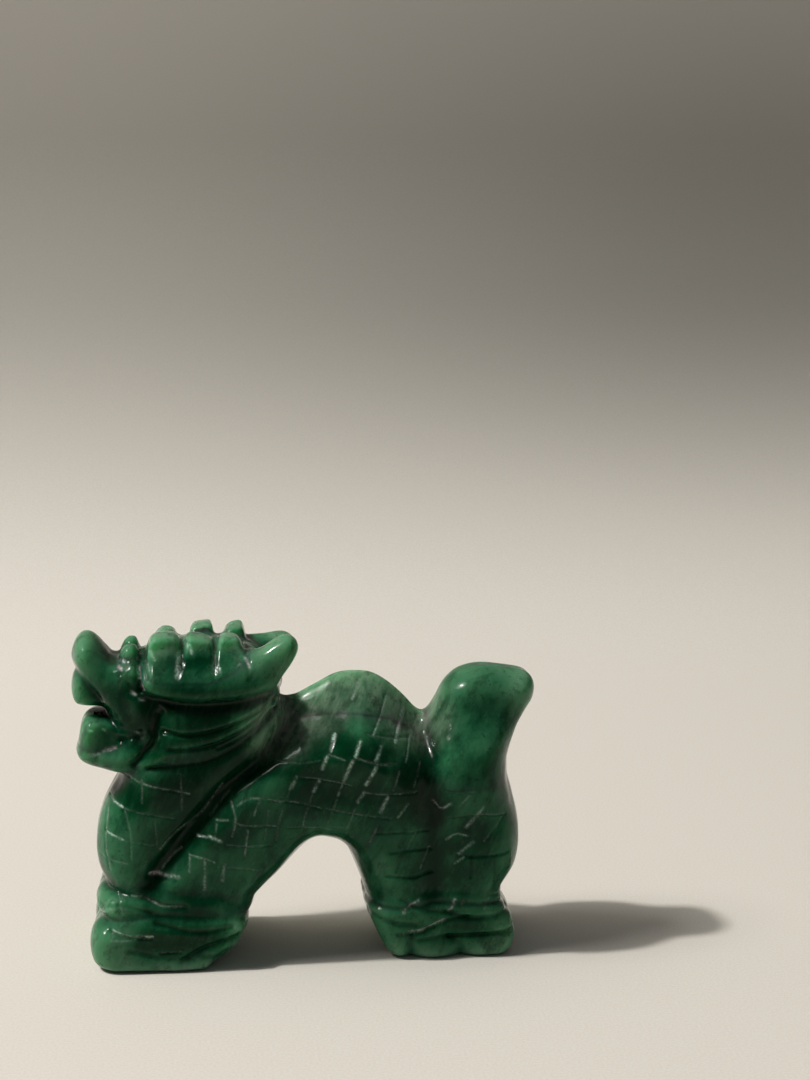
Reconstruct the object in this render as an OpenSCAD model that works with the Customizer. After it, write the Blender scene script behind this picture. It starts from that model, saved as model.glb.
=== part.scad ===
// Carved stone dragon, standing on four feet with its head at -X and its tail at +X.
// The whole figure is one carved stone. It is divided here along the carver's own lines
// into the head, body, leg and tail features, which meet face to face.
// The two horns are not cut alike: the right one ends lower.
// Axes: X along the body, Y across it (the dragon's left is -Y), Z up, origin under the middle.

/* [Overall size] */
// Length from the snout to the tail tip
figure_length = 50; // [40:1:80]
// Thickness across the front feet
figure_thickness = 16; // [14:0.5:20]

/* [Head] */
// Half width of the skull between the horns
skull_half = 5.2; // [4.8:0.1:5.6]
// Half width of the snout and the lower jaw
jaw_half = 4.7; // [4.2:0.1:5.0]
// Half width of the teeth and the tongue inside the lips
mouth_half = 2.6; // [2.2:0.1:3.2]
// How far the outer face of the mane stands from the middle
mane_reach = 7.1; // [6.6:0.1:7.6]
// Distance of each horn's line from the middle
horn_offset = 5.2; // [4.8:0.1:5.4]

/* [Crest] */
// Knobs in each row of the crest
knob_count = 3; // [2:1:3]
// Distance from one knob to the next
knob_pitch = 3.65; // [3.4:0.05:3.8]
// Length of a knob along the head
knob_length = 2.9; // [2.4:0.1:3.1]
// Half of the slot between the two rows
crest_slot_half = 0.9; // [0.5:0.1:1.3]
// How far the outer side of a row stands from the middle
crest_reach = 5.0; // [4.4:0.1:5.2]
// Top of the crest above the ground
crest_top = 36.1; // [35.6:0.1:36.6]

/* [Body] */
// Half thickness of the body along its side
body_half = 7.3; // [6.6:0.1:7.6]
// Half thickness of the neck
neck_half = 6.2; // [5.6:0.1:6.8]
// Half thickness at the root of the thin ridge on the back
ridge_half = 5.6; // [4.6:0.1:6.2]
// Half thickness of the haunch
haunch_half = 6.8; // [6.2:0.1:7.2]
// Half thickness of the raised tail
tail_half = 4.6; // [4.0:0.1:5.2]

/* [Feet] */
// Half of the groove between the left and right feet
foot_gap_half = 0.5; // [0.3:0.1:0.8]
// How far the outer side of a hind foot stands from the middle
hind_reach = 6.8; // [6.2:0.1:7.4]

/* [Hidden] */

drawn_length = 50;     // the outlines below are drawn for this length
drawn_thickness = 16;  // and for this thickness
k = figure_length / drawn_length;
ky = figure_thickness / drawn_thickness;
forefoot_reach = drawn_thickness / 2;
steps = 2;             // points on each stretch of an outline
rings = 7;             // rings from one side of a rounded slab to the other
sides = 18;            // facets round a limb
rounded = 0.7;         // how far a limb's sides round over, as a share of its half width
knob_sides = 12;       // facets round the corners of a crest knob
brow_sides = 16;       // facets round a brow knob
far = 32;              // beyond every surface
above = 40;            // higher than every surface
below = -1;            // lower than every surface
left = -1;
right = 1;
jade = "#2f6b4a";
deep_jade = "#1f5138";
pale_jade = "#4a8564";

// ---- points where the features meet, as [x, z] ----
sky_left = [-far, above];
face_top = [-19.9, above];
snout_notch = [-19.9, 34.0];
mouth_corner = [-19.6, 24.4];
chin = [-20.6, 20.6];
throat = [-far, 20.6];
nape = [-2.3, 28.9];
jaw_hinge = [-16.0, 26.4];
jaw_foot = [-18.4, 21.5];
mouth_roof = [-far, 28.2];
upper_lip = [[-21.0, 26.9], [-22.3, 29.0], [-24.4, 31.9], [-far, 36]];
lower_lip = [[-21.0, 23.9], [-22.8, 23.5], [-24.0, 23.9], [-far, 23.9]];
cheek_line = [jaw_hinge, [-16.2, 25.1], [-17.1, 23.9], [-18.3, 22.9], jaw_foot];
head_floor = [[-16.4, 22.2], [-13.1, 22.7], [-10.5, 23.2], [-8.7, 24.0], [-6.1, 25.4], [-3.9, 27.4], nape];
horn_floor = [[-17.2, 30.0], [-15.2, 28.9], [-12.5, 28.2], [-9.0, 28.2], [-6.0, 28.9], [-3.4, 29.7], nape];
crest_floor = [[-17.3, 32.2], [-15.5, 31.5], [-10.5, 31.5], [-8.2, 32.4], [-6.1, 33.8]];
crest_front = [-17.3, above];
crest_end = [-6.1, above];
behind_head = [[0.6, 31.4], [6, above]];
brow_left = [-19.9, 33.7];
brow_right = [-17.3, 33.5];
rump_notch = [13.15, 23.4];
above_rump = [13.1, above];
ridge_root = [[-1.0, 26.3], [2.0, 26.9], [5.5, 27.1], [9.0, 26.2], [11.4, 24.7], rump_notch];
chest_left = [-far, 9.2];
valley = [[-1.0, 26.3], [-5.9, 22.4], [-10.2, 18.6], [-13.4, 14.9], [-16.9, 10.4], [-18.4, 9.2]];
rump = [[13.5, 19.0], [13.6, 6.3]];
arch_front = [1.0, 8.2];
hump_front = [1.6, 10.0];
hump_rear = [3.9, 10.0];
foreleg_top = [[-18.4, 9.2], [-13.0, 8.6], [-8.0, 7.9], [-3.5, 8.2]];
forefoot_top = [[-far, 5.6], [-21.8, 5.7], [-16.0, 6.3], [-8.0, 6.2], [-3.5, 6.4]];
hind_foot_top = [[3.2, 6.4], [8.0, 6.2], [13.6, 6.3], [18.0, 6.0], [21.8, 5.9], [far, 5.9]];
tail_root = [[13.5, 19.0], [17.5, 19.2], [21.4, 19.6], [far, 19.6]];
head_core_half = 2.9;  // the skull between the two manes and the two horns
brow_gap_half = 0.4;   // half of the gap between the two brow knobs
mane_middle = 4.6;     // middle of each mane's thickness

// ---- outlines, as [x, z] points on a closed curve ----
snout_outline = [[-24.9, 33.9], [-24.4, 35.3], [-23.4, 35.8], [-22.4, 35.4], [-21.4, 34.5], [-20.1, 33.8],
                 [-17.8, 33.2], [-17.0, 30.0], [-17.4, 26.6], [-19.2, 24.7], [-20.3, 26.2], [-21.5, 28.2],
                 [-22.7, 30.1], [-24.1, 32.2]];
tooth_outline = [[-24.9, 31.2], [-25.0, 29.6], [-24.7, 28.3], [-24.0, 27.75], [-22.3, 27.5],
                 [-20.6, 27.6], [-20.2, 29.6], [-20.8, 32.0], [-22.6, 33.0], [-24.2, 32.3]];
tongue_outline = [[-24.2, 23.8], [-24.1, 25.6], [-23.4, 26.8], [-22.2, 26.95], [-20.5, 26.4],
                  [-18.4, 25.6], [-17.8, 23.6], [-19.6, 22.3], [-22.6, 22.4]];
jaw_outline = [[-24.5, 23.2], [-24.2, 22.4], [-23.2, 21.6], [-22.0, 21.1], [-20.2, 20.7], [-17.4, 20.9],
               [-15.6, 22.6], [-15.4, 25.4], [-16.4, 26.6], [-18.2, 25.5], [-19.8, 24.4], [-21.2, 23.9],
               [-22.8, 23.5], [-24.0, 23.9]];
skull_outline = [[-18.9, 25.0], [-19.4, 29.5], [-19.6, 33.3], [-17.6, 34.1], [-12.0, 34.3], [-6.4, 33.4],
                 [-3.8, 31.4], [-3.2, 29.2], [-5.2, 26.4], [-8.5, 23.6], [-12.0, 22.0], [-16.0, 21.4],
                 [-18.8, 21.8]];
mane_outline = [[-15.8, 28.2], [-16.2, 26.5], [-16.5, 25.0], [-17.4, 23.8], [-17.4, 22.5], [-16.2, 22.1],
                [-13.1, 22.6], [-10.5, 23.1], [-8.6, 23.9], [-6.2, 25.3], [-4.2, 27.4], [-3.2, 29.2],
                [-5.2, 29.2], [-7.8, 28.6], [-10.4, 28.4], [-13.9, 28.4]];
ridge_outline = [[-2.9, 26.2], [-2.0, 28.1], [-0.8, 28.5], [0.8, 29.3], [2.7, 30.3], [4.1, 30.7],
                 [5.5, 30.85], [6.9, 30.7], [8.2, 30.2], [9.6, 29.2], [10.9, 28.0], [11.8, 26.8],
                 [12.5, 25.7], [13.6, 24.4], [12.5, 20.0], [5.5, 17.0], [-1.5, 21.0]];
haunch_outline = [[21.4, 20.2], [21.6, 18.6], [22.3, 17.0], [23.0, 14.8], [23.4, 12.8], [23.4, 10.8],
                  [23.1, 9.2], [22.5, 7.9], [21.7, 6.6], [21.0, 4.2], [17.0, 3.4], [13.2, 5.6],
                  [12.8, 10.0], [13.0, 15.0], [13.2, 20.0], [14.0, 23.6], [17.5, 24.6], [20.6, 23.0]];
tail_outline = [[13.2, 25.0], [13.6, 26.1], [14.3, 27.6], [15.1, 29.2], [16.4, 30.4], [17.9, 31.1],
                [19.6, 31.3], [21.9, 31.0], [23.9, 30.6], [24.75, 30.0], [25.0, 29.0], [24.8, 27.7],
                [24.1, 26.5], [23.0, 24.8], [22.0, 23.0], [21.5, 21.6], [21.4, 20.2], [20.8, 17.5],
                [17.5, 16.8], [14.2, 18.5], [13.1, 22.0]];
foreleg_outline = [[-21.8, 5.2], [-22.5, 6.3], [-22.6, 7.3], [-22.1, 8.5], [-20.5, 11.4], [-15.0, 12.2],
                   [-9.5, 9.8], [-6.3, 6.6], [-6.9, 4.6], [-14.0, 3.6]];
forefoot_outline = [[-20.6, -0.6], [-22.1, 0.6], [-22.9, 2.2], [-23.05, 3.6], [-22.7, 4.8], [-21.9, 5.6],
                    [-18.0, 6.8], [-12.0, 7.2], [-8.0, 6.8], [-6.5, 5.6], [-7.1, 4.2], [-7.5, 2.8],
                    [-8.4, 1.0], [-9.8, -0.6]];
hind_foot_outline = [[21.6, -0.6], [22.6, 0.7], [22.9, 2.0], [22.75, 3.2], [22.1, 4.6], [19.0, 6.2],
                     [14.0, 6.8], [9.0, 6.8], [6.4, 5.8], [6.8, 4.2], [7.5, 2.2], [8.3, 0.8],
                     [9.6, -0.6]];

// ---- limbs, as [x, z, half width along the side, half thickness, distance from the middle] ----
neck_line = [[-8.2, 26.5, 5.6, neck_half - 0.6, 0], [-12.0, 22.0, 6.0, neck_half - 0.2, 0],
             [-15.7, 17.9, 5.6, neck_half, 0], [-18.1, 14.0, 4.8, neck_half + 0.2, 0],
             [-19.1, 10.5, 3.7, neck_half + 0.4, 0], [-19.2, 7.0, 3.0, neck_half + 0.4, 0]];
body_line = [[-17.5, 4.8, 4.4, body_half - 0.3, 0], [-11.6, 10.5, 5.6, body_half, 0],
             [-7.1, 15.0, 6.0, body_half, 0], [-3.1, 18.8, 6.3, body_half, 0],
             [1.2, 20.4, 7.4, body_half - 0.2, 0], [5.2, 20.8, 7.0, body_half - 0.3, 0],
             [8.7, 18.0, 5.9, body_half - 0.4, 0], [9.8, 13.5, 4.9, body_half - 0.5, 0],
             [10.2, 9.0, 4.4, body_half - 0.5, 0], [10.4, 3.5, 4.2, body_half - 0.6, 0]];
horn_root = [[-17.4, 30.9, 0.5, 0.5, 4.6], [-15.9, 30.4, 1.2, 1.6, horn_offset - 0.3],
             [-12.5, 29.7, 1.5, 2.0, horn_offset], [-9.0, 29.7, 1.7, 2.1, horn_offset]];
left_horn_line = concat(horn_root,
    [[-6.1, 31.0, 1.9, 2.0, horn_offset], [-3.8, 32.8, 2.0, 1.9, horn_offset],
     [-2.3, 34.5, 1.6, 1.5, horn_offset], [-1.4, 35.5, 0.6, 0.7, horn_offset]]);
right_horn_line = concat(horn_root,
    [[-6.1, 31.1, 1.8, 2.0, horn_offset], [-3.9, 32.2, 1.8, 1.9, horn_offset],
     [-2.5, 32.8, 1.3, 1.5, horn_offset], [-1.6, 33.1, 0.6, 0.7, horn_offset]]);

// ---- shapes ----
function curve(p0, p1, p2, p3, t) =
    0.5 * (2 * p1 + (p2 - p0) * t + (2 * p0 - 5 * p1 + 4 * p2 - p3) * pow(t, 2)
           + (3 * p1 - p0 - 3 * p2 + p3) * pow(t, 3));
function closed_curve(p) =
    let (n = len(p))
    [for (i = [0 : n - 1], j = [0 : steps - 1])
        curve(p[(i + n - 1) % n], p[i], p[(i + 1) % n], p[(i + 2) % n], j / steps)];
function area(p) =
    let (n = len(p))
    [for (i = [0 : n - 1]) 1] * [for (i = [0 : n - 1]) cross(p[i], p[(i + 1) % n])] / 2;
function reversed(p) = [for (i = [len(p) - 1 : -1 : 0]) p[i]];
function anticlockwise(p) = area(p) > 0 ? p : reversed(p);
function rounding(value, power) = sign(value) * pow(abs(value), 2 / power);
// Closed skin over rows of n points each, with one point at either end.
function skin_faces(rows, n) =
    concat([for (i = [0 : n - 1]) [0, 1 + (i + 1) % n, 1 + i]],
           [for (r = [0 : rows - 2], i = [0 : n - 1])
               let (a = 1 + r * n + i, b = 1 + r * n + (i + 1) % n)
               [a, b, b + n, a + n]],
           [for (i = [0 : n - 1])
               let (last = 1 + (rows - 1) * n)
               [last + n, last + i, last + (i + 1) % n]]);

// A slab with the given outline whose sides round over towards its edge.
module rounded_slab(outline, centre, half, power, offset_y = 0) {
    edge = anticlockwise(closed_curve(outline));
    rows = [for (r = [1 : rings - 1]) let (turn = 180 * r / rings - 90)
        [for (p = edge) let (q = centre + (p - centre) * rounding(cos(turn), power))
            [q[0], offset_y + half * rounding(sin(turn), power), q[1]]]];
    points = concat([[centre[0], offset_y - half, centre[1]]],
                    [for (row = rows, p = row) p],
                    [[centre[0], offset_y + half, centre[1]]]);
    polyhedron(points, skin_faces(len(rows), len(edge)), convexity = 6);
}

// A limb that follows a line: every two neighbouring stations are hulled together.
// side sets which side of the middle it is on, and 0 puts it across the middle.
module limb(line, side = 0) {
    for (i = [0 : len(line) - 2])
        hull()
            for (s = [line[i], line[i + 1]], part = [-1, 1])
                translate([s[0], side * s[4] + part * (s[3] - rounded * min(s[2], s[3])), s[1]])
                    scale([s[2], rounded * min(s[2], s[3]), s[2]]) sphere(1, $fn = sides);
}

// One knob of the crest: a rounded post with a flat inner side.
module crest_knob(x, side) {
    corner = 0.6;
    narrowing = 0.7;
    foot = 30.5;
    inner = crest_slot_half + corner;
    outer = crest_reach - corner - narrowing;
    hull()
        for (dx = [-1, 1], y = [inner, outer], z = [foot, crest_top - corner])
            translate([x + dx * (knob_length / 2 - corner), side * y, z])
                sphere(corner, $fn = knob_sides);
}

module brow_knob(side) {
    hull() {
        translate([-18.6, side * 1.6, 34.4]) sphere(1.0, $fn = brow_sides);
        translate([-18.6, side * 3.0, 34.1]) sphere(1.0, $fn = brow_sides);
        translate([-18.4, side * 2.2, 32.4]) sphere(0.9, $fn = brow_sides);
    }
}

// A block of the given outline from one Y to another.
module block(outline, from_y = -far, to_y = far) {
    translate([0, to_y, 0]) rotate([90, 0, 0]) linear_extrude(to_y - from_y) polygon(outline);
}

// Left side for side = -1, right side for side = 1, from the given distance outwards.
module side_block(outline, side, inner) {
    if (side < 0) block(outline, -far, -inner);
    else block(outline, inner, far);
}

module head_form() {
    rounded_slab(skull_outline, [-12.0, 28.0], skull_half, 3.2);
    rounded_slab(snout_outline, [-20.2, 30.6], jaw_half, 3);
    rounded_slab(tooth_outline, [-22.4, 30.0], mouth_half - 0.1, 3.4);
    rounded_slab(tongue_outline, [-21.2, 24.6], mouth_half, 3.4);
    rounded_slab(jaw_outline, [-18.2, 23.2], jaw_half, 3);
    limb(left_horn_line, left);
    limb(right_horn_line, right);
    first_knob = -15.0;
    for (side = [left, right]) {
        rounded_slab(mane_outline, [-11.5, 25.6], mane_reach - mane_middle, 3, side * mane_middle);
        brow_knob(side);
        for (i = [0 : knob_count - 1]) crest_knob(first_knob + i * knob_pitch, side);
    }
}

module body_form() {
    limb(neck_line);
    limb(body_line);
    rounded_slab(ridge_outline, [5.5, 23.0], ridge_half, 1.35);
    rounded_slab(haunch_outline, [18.3, 12.5], haunch_half, 2.6);
    rounded_slab(tail_outline, [18.4, 24.5], tail_half, 2.6);
}

module foot_form() {
    rounded_slab(foreleg_outline, [-14.5, 7.4], body_half, 3);
    front_half = (forefoot_reach - foot_gap_half) / 2;
    hind_half = (hind_reach - foot_gap_half) / 2;
    for (side = [left, right]) {
        rounded_slab(forefoot_outline, [-15.0, 2.8], front_half, 4, side * (foot_gap_half + front_half));
        rounded_slab(hind_foot_outline, [14.8, 2.8], hind_half, 4, side * (foot_gap_half + hind_half));
    }
    // the stone left between the left and right feet
    web_half = 2;
    block([[-20.5, 0], [-21.3, 4.5], [-8.2, 4.5], [-10.0, 0]], -web_half, web_half);
    block([[10.0, 0], [8.6, 4.5], [21.2, 4.5], [20.4, 0]], -web_half, web_half);
}

// The whole stone, flat underneath.
module stone() {
    difference() {
        union() {
            head_form();
            body_form();
            foot_form();
        }
        translate([-far, -far, -2 * far]) cube(2 * far);
    }
}

// The part of the stone inside the given blocks, at the figure's own size.
module feature(tint) {
    color(tint) scale([k, ky, k])
        intersection() {
            stone();
            children();
        }
}

// ---- the outline of each feature's region, as [x, z] ----
head_cell = concat([throat, chin, jaw_foot], head_floor, behind_head, [sky_left]);
face_cell = concat([sky_left, face_top, snout_notch, mouth_corner], cheek_line, [chin, throat]);
brow_cell = [face_top, snout_notch, brow_left, brow_right, crest_front];
crest_cell = concat([crest_front], crest_floor, [crest_end]);
horn_cell = concat(reversed(crest_floor), horn_floor, behind_head, [crest_end]);
mane_cell = concat(horn_floor, reversed(head_floor), reversed(cheek_line));

// ---- features ----
module snout() {
    feature(jade) block(concat([sky_left, face_top, snout_notch, mouth_corner], upper_lip));
}
module upper_teeth() {
    feature(pale_jade) block(concat([mouth_roof], reversed(upper_lip)));
}
module tongue() {
    feature(pale_jade) block(concat([mouth_corner], lower_lip, [mouth_roof, upper_lip[0]]));
}
module lower_jaw() {
    feature(jade) block(concat(reversed(lower_lip), [mouth_corner], cheek_line, [chin, throat]));
}
module brow_region() {
    for (side = [left, right]) side_block(brow_cell, side, brow_gap_half);
}
module brow_knobs() {
    feature(jade) brow_region();
}
module crest_row(side) {
    feature(pale_jade) side_block(crest_cell, side, crest_slot_half);
}
module horn(side) {
    feature(jade) side_block(horn_cell, side, head_core_half);
}
module mane(side) {
    feature(deep_jade) side_block(mane_cell, side, head_core_half);
}
module skull() {
    feature(deep_jade)
        difference() {
            block(head_cell);
            block(face_cell, -far - 1, far + 1);
            brow_region();
            for (side = [left, right]) {
                side_block(crest_cell, side, crest_slot_half);
                side_block(horn_cell, side, head_core_half);
                side_block(mane_cell, side, head_core_half);
            }
        }
}
module neck() {
    feature(deep_jade) block(concat([throat, chin, jaw_foot], head_floor, valley, [chest_left]));
}
module front_body() {
    feature(jade) block(concat(valley, foreleg_top, [arch_front, hump_front]));
}
module dorsal_ridge() {
    feature(pale_jade) block(concat([nape], behind_head, [above_rump], reversed(ridge_root)));
}
module hump() {
    feature(jade) block(concat([hump_front], ridge_root, [hump_rear]));
}
module rear_body() {
    feature(jade) block(concat([hump_rear, rump_notch], rump, [hind_foot_top[1], hind_foot_top[0]]));
}
module haunch() {
    feature(jade) block(concat([rump[1]], tail_root, [for (i = [5 : -1 : 3]) hind_foot_top[i]]));
}
module tail() {
    feature(pale_jade) block(concat([above_rump, rump_notch], tail_root, [[far, above]]));
}
module foreleg(side) {
    feature(jade) side_block(concat([chest_left], foreleg_top, reversed(forefoot_top)), side, 0);
}
module forefoot(side) {
    feature(jade) side_block(concat(forefoot_top, [[-3.5, below], [-far, below]]), side, 0);
}
module hind_foot(side) {
    feature(jade) side_block(concat(hind_foot_top, [[far, below], [3.2, below]]), side, 0);
}

skull();
snout();
upper_teeth();
tongue();
lower_jaw();
brow_knobs();
crest_row(left);  // left_crest
crest_row(right);  // right_crest
horn(left);  // left_horn
horn(right);  // right_horn
mane(left);  // left_mane
mane(right);  // right_mane
neck();
front_body();
hump();
dorsal_ridge();
rear_body();
haunch();
tail();
foreleg(left);  // left_foreleg
foreleg(right);  // right_foreleg
forefoot(left);  // left_forefoot
forefoot(right);  // right_forefoot
hind_foot(left);  // left_hind_foot
hind_foot(right);  // right_hind_foot
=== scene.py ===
"""Carved green stone dragon.

One smooth stone is sculpted as a distance field, divided along the CAD nodes' own lines, and finished.
Lengths are in mm as the outlines are drawn, and UNIT turns them into metres at the CAD model's size.
"""
import math

import bpy
import numpy as np
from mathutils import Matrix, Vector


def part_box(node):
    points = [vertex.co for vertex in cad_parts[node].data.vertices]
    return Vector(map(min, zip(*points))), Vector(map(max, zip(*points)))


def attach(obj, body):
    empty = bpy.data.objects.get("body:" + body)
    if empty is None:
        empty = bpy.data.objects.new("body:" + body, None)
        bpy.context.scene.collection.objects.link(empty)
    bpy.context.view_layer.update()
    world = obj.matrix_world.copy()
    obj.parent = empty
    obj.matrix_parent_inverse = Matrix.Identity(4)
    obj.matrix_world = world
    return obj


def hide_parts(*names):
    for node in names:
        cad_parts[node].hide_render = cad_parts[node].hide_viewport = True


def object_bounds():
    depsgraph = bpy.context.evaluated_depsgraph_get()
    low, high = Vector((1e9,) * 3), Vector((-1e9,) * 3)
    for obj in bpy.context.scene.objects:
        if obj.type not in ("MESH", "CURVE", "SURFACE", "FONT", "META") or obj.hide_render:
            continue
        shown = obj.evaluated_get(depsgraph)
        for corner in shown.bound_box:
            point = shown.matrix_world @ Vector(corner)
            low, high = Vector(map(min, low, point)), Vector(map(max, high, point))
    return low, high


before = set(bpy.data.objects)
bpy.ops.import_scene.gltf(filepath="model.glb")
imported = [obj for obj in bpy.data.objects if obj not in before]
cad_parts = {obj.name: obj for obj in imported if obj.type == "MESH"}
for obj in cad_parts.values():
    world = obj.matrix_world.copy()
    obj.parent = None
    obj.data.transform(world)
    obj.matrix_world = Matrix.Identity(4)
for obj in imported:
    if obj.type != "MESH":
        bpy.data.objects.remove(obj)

import openvdb
from mathutils import Vector

CAD_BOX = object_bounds()
DRAWN_LENGTH = 49.85  # length of the figure that the outlines below are drawn for
UNIT = (CAD_BOX[1][0] - CAD_BOX[0][0]) / DRAWN_LENGTH  # metres in one drawn mm

# ------------------------------------------------------------------ grid
SPACING = 0.125
LOW = np.array([-26.0, -8.75, -0.75])
HIGH = np.array([26.0, 8.75, 37.5])
XS, YS, ZS = (np.arange(LOW[i], HIGH[i] + SPACING / 2, SPACING, dtype=np.float32) for i in range(3))
Y = YS[None, :, None]
FAR = 9.0  # a distance that is outside everything


def span(a, b, c, d, steps):
    """Points on a smooth curve (Catmull-Rom) from b up to c, where a comes before b and d comes after c."""
    t = np.linspace(0, 1, steps, endpoint=False)[:, None]
    bend = (2 * a - 5 * b + 4 * c - d) * t ** 2
    twist = (3 * b - a - 3 * c + d) * t ** 3
    return 0.5 * (2 * b + (c - a) * t + bend + twist)


def closed_curve(points, steps=5):
    """A smooth closed curve through the points."""
    p = np.array(points, float)
    before, after, last = np.roll(p, 1, 0), np.roll(p, -1, 0), np.roll(p, -2, 0)
    return np.concatenate([span(a, b, c, d, steps) for a, b, c, d in zip(before, p, after, last)])


def open_curve(points, steps=6):
    """A smooth open curve through the points."""
    p = np.array(points, float)
    if len(p) == 2:
        return p
    padded = np.concatenate([[2 * p[0] - p[1]], p, [2 * p[-1] - p[-2]]])
    spans = [span(a, b, c, d, steps) for a, b, c, d in zip(padded, padded[1:], padded[2:], padded[3:])]
    return np.concatenate(spans + [p[-1:]])


def way_from_path(path, x, z):
    """Squared distance from a run of straight segments to each (x, z), and the way there in X and in Z."""
    best = np.full(np.broadcast(x, z).shape, FAR ** 2)
    away_x, away_z = np.zeros_like(best), np.zeros_like(best)
    for (ax, az), (bx, bz) in zip(path[:-1], path[1:]):
        dx, dz = bx - ax, bz - az
        t = np.clip(((x - ax) * dx + (z - az) * dz) / max(dx * dx + dz * dz, 1e-9), 0, 1)
        ex, ez = x - ax - t * dx, z - az - t * dz
        closer = ex ** 2 + ez ** 2 < best
        best = np.where(closer, ex ** 2 + ez ** 2, best)
        away_x, away_z = np.where(closer, ex, away_x), np.where(closer, ez, away_z)
    return best, away_x, away_z


def distance_to_path(path, x, z):
    """Distance from each (x, z) to a run of straight segments."""
    return np.sqrt(way_from_path(path, x, z)[0].astype(np.float32))


def signed_distance(loop, x, z):
    """Distance to a closed loop, negative inside it."""
    inside = np.zeros(np.broadcast(x, z).shape, bool)
    for (ax, az), (bx, bz) in zip(loop, np.roll(loop, -1, 0)):
        if az != bz:
            inside ^= ((az > z) != (bz > z)) & (x < (bx - ax) * (z - az) / (bz - az) + ax)
    d = distance_to_path(np.concatenate([loop, loop[:1]]), x, z)
    return np.where(inside, -d, d)


def nearness(path, full, none, x, z):
    """1 within full of a run of straight segments, falling to 0 at none."""
    return smooth_step(none, full, distance_to_path(np.array(path, float), x, z))


def window(low, high):
    """Index ranges of the grid that cover a box in X and Z."""
    i0, k0 = (max(int((low[j] - LOW[2 * j]) / SPACING), 0) for j in (0, 1))
    i1, k1 = (int((high[j] - LOW[2 * j]) / SPACING) + 2 for j in (0, 1))
    return slice(i0, min(i1, len(XS))), slice(k0, min(k1, len(ZS)))


def smooth_step(low, high, value):
    """0 up to low, 1 beyond high, and a smooth rise between them; low may be the larger."""
    t = np.clip((value - low) / (high - low), 0, 1)
    return t * t * (3 - 2 * t)


# ------------------------------------------------------------------ tools of the sculpting
stone = np.full((len(XS), len(YS), len(ZS)), FAR, np.float32)


def thicker(along, base, extra, low, high):
    """A half thickness that grows from base by extra along "x", "z" or the distance "inside" the outline."""
    return lambda **place: base + extra * smooth_step(low, high, place[along])


def slab(outline, half, middle=0.0, roll=3.0, power=2.3, blend=0.5, side=0):
    """Joins a slab to the stone: an outline in X and Z whose sides roll over towards the edge.

    half is half its thickness, or what thicker() gives. middle is how far its own middle plane stands from
    the figure's. roll is how far in from the edge its sides begin to round over, and a higher power rounds
    them less. blend is how softly it joins. side picks one side, and 0 makes both alike.
    """
    loop = closed_curve(outline)
    margin = 2.0 + blend
    wx, wz = window(loop.min(0) - margin, loop.max(0) + margin)
    x, z = XS[wx][:, None], ZS[wz][None, :]
    distance = signed_distance(loop, x, z)
    width = half
    if callable(half):
        width = np.broadcast_to(half(x=x, z=z, inside=-distance), distance.shape)[:, None, :]
    edge = np.clip((distance + roll) / roll, 0, None)[:, None, :]
    y = np.abs(Y) if side == 0 else side * Y
    v = np.abs(y - middle) / width
    f = ((edge ** power + v ** power) ** (1 / power) - 1) * np.minimum(roll, width)
    old = stone[wx, :, wz]
    h = np.clip(0.5 + 0.5 * (f - old) / blend, 0, 1)
    stone[wx, :, wz] = f * (1 - h) + old * h - blend * h * (1 - h)


def engrave(path, width, depth, low):
    """Sinks a groove along a path in X and Z, where the stone is further than low from the middle."""
    line = open_curve(path)
    wx, wz = window(line.min(0) - 3 * width, line.max(0) + 3 * width)
    x, z = XS[wx][:, None], ZS[wz][None, :]
    profile = np.exp(-(distance_to_path(line, x, z) / width) ** 2)[:, None, :]
    reach = smooth_step(low - 0.6, low + 0.6, np.abs(Y)) if low else 1.0
    stone[wx, :, wz] += depth * profile * reach


def dimple(x0, y0, z0, radius, depth):
    """Sinks a round spot on both sides of the figure."""
    wx, wz = window((x0 - 3 * radius, z0 - 3 * radius), (x0 + 3 * radius, z0 + 3 * radius))
    x, z = XS[wx][:, None, None], ZS[wz][None, None, :]
    r2 = (x - x0) ** 2 + (np.abs(Y) - y0) ** 2 + (z - z0) ** 2
    stone[wx, :, wz] += depth * np.exp(-r2 / radius ** 2)


def blur(grid, sigma):
    """Gaussian blur along all three axes; sigma is in grid steps."""
    reach = max(int(3 * sigma), 1)
    weights = np.exp(-0.5 * (np.arange(-reach, reach + 1) / sigma) ** 2)
    weights = (weights / weights.sum()).astype(np.float32)
    for axis in range(3):
        pad = [(reach, reach) if a == axis else (0, 0) for a in range(3)]
        wide = np.pad(grid, pad, mode="edge")
        n = grid.shape[axis]
        grid = sum(w * np.take(wide, range(j, j + n), axis=axis) for j, w in enumerate(weights))
    return grid


def wobble(x, y, z, size, seed):
    """A slow wave that differs from place to place, from -1 to 1, with features about size across."""
    rng = np.random.default_rng(seed)
    total = 0.0
    for _ in range(6):
        k = rng.normal(size=3)
        k *= 2 * math.pi / size / np.linalg.norm(k) * rng.uniform(0.7, 1.4)
        total = total + np.sin(k[0] * x + k[1] * y + k[2] * z + rng.uniform(0, 2 * math.pi))
    return total / 3.5


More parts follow.
